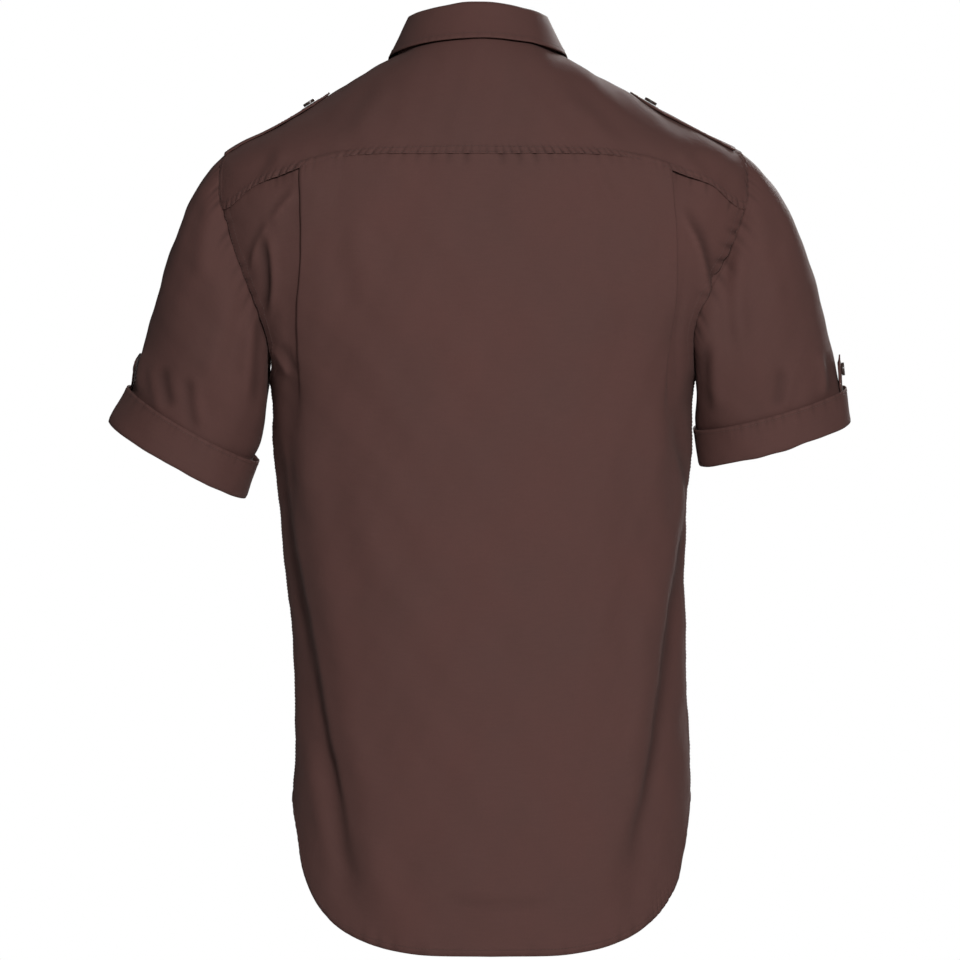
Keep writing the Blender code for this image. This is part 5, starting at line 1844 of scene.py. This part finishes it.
def add_floor(stage):
    bpy.ops.object.select_all(action="DESELECT")
    bpy.ops.mesh.primitive_circle_add(vertices=96, radius=3.0, fill_type="NGON",
                                      location=(0.0, 0.0, -stage.floor_drop))
    floor = bpy.context.active_object
    floor.name = "floor"
    material, tree, shader = new_material("pale_floor")
    place = tree.nodes.new("ShaderNodeTexCoord")
    grain = noise_node(tree, place.outputs["Object"], 6.0, 3.0)
    tone = spread(tree, grain, 0.3, 0.7, 0.0, 1.0)
    mixed = mix_colour(tree, tone, (0.80, 0.80, 0.79, 1.0), (0.84, 0.84, 0.83, 1.0))
    tree.links.new(mixed, shader.inputs["Base Color"])
    shader.inputs["Roughness"].default_value = 0.85
    floor.data.materials.append(material)


def add_light(name, place, size, power):
    data = bpy.data.lights.new(name, "AREA")
    data.shape = "DISK"
    data.size = size
    data.energy = power
    light = bpy.data.objects.new(name, data)
    light.location = place
    target = Vector((0.0, 0.0, PHOTO_CENTRE_HEIGHT * MM))
    light.rotation_euler = (target - Vector(place)).to_track_quat("-Z", "Y").to_euler()
    bpy.context.scene.collection.objects.link(light)


def add_lights(stage):
    """Soft lights before and behind the shirt, and a white room."""
    add_light("back_light", (-0.7, 3.6, 1.1), 0.7, stage.light)
    add_light("front_light", (-1.2, -3.2, 1.0), 1.2, stage.light * 0.9)
    world = bpy.data.worlds.new("white_room")
    world.use_nodes = True
    tree = world.node_tree
    seen = tree.nodes["Background"]
    seen.inputs["Color"].default_value = (1.0, 1.0, 1.0, 1.0)
    seen.inputs["Strength"].default_value = 1.0
    lit = tree.nodes.new("ShaderNodeBackground")
    lit.inputs["Color"].default_value = (1.0, 1.0, 1.0, 1.0)
    lit.inputs["Strength"].default_value = stage.air
    path = tree.nodes.new("ShaderNodeLightPath")
    mixed = tree.nodes.new("ShaderNodeMixShader")
    tree.links.new(path.outputs["Is Camera Ray"], mixed.inputs[0])
    tree.links.new(lit.outputs[0], mixed.inputs[1])
    tree.links.new(seen.outputs[0], mixed.inputs[2])
    tree.links.new(mixed.outputs[0], tree.nodes["World Output"].inputs["Surface"])
    bpy.context.scene.world = world
    bpy.context.scene.view_settings.view_transform = "Standard"


# The panel and the run

class ShirtPanel(bpy.types.Panel):
    """The shirt's sizes and the buttons that make its pieces"""
    bl_idname = "VIEW3D_PT_shirt"
    bl_label = "Military shirt"
    bl_space_type = "VIEW_3D"
    bl_region_type = "UI"
    bl_category = "Shirt"

    def draw(self, context):
        for group in ("shirt_cloth", "shirt_sewing", "shirt_buttons", "shirt_stage"):
            settings = getattr(context.scene, group)
            box = self.layout.box()
            for name in settings.bl_rna.properties.keys():
                if name not in ("rna_type", "name"):
                    box.prop(settings, name)
        for maker in MAKERS:
            self.layout.operator(maker.bl_idname)


GROUPS = (("shirt_cloth", ShirtCloth), ("shirt_sewing", ShirtSewing), ("shirt_buttons", ShirtButtons),
          ("shirt_stage", ShirtStage))
MAKERS = (MakeStage, MakeYoke, MakeBack, MakeFronts, MakeBand, MakeCollar, MakeSleeves, MakeCuffs, MakeStraps,
          MakeTabs, MakeButtons)


def register():
    for name, group in GROUPS:
        bpy.utils.register_class(group)
        setattr(bpy.types.Scene, name, bpy.props.PointerProperty(type=group))
    for maker in MAKERS:
        bpy.utils.register_class(maker)
    bpy.utils.register_class(ShirtPanel)


def unregister():
    bpy.utils.unregister_class(ShirtPanel)
    for maker in reversed(MAKERS):
        bpy.utils.unregister_class(maker)
    for name, group in reversed(GROUPS):
        delattr(bpy.types.Scene, name)
        bpy.utils.unregister_class(group)


def main():
    register()
    for maker in MAKERS:
        group, call = maker.bl_idname.split(".")
        getattr(getattr(bpy.ops, group), call)()
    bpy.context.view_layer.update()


if __name__ == "__main__":
    main()
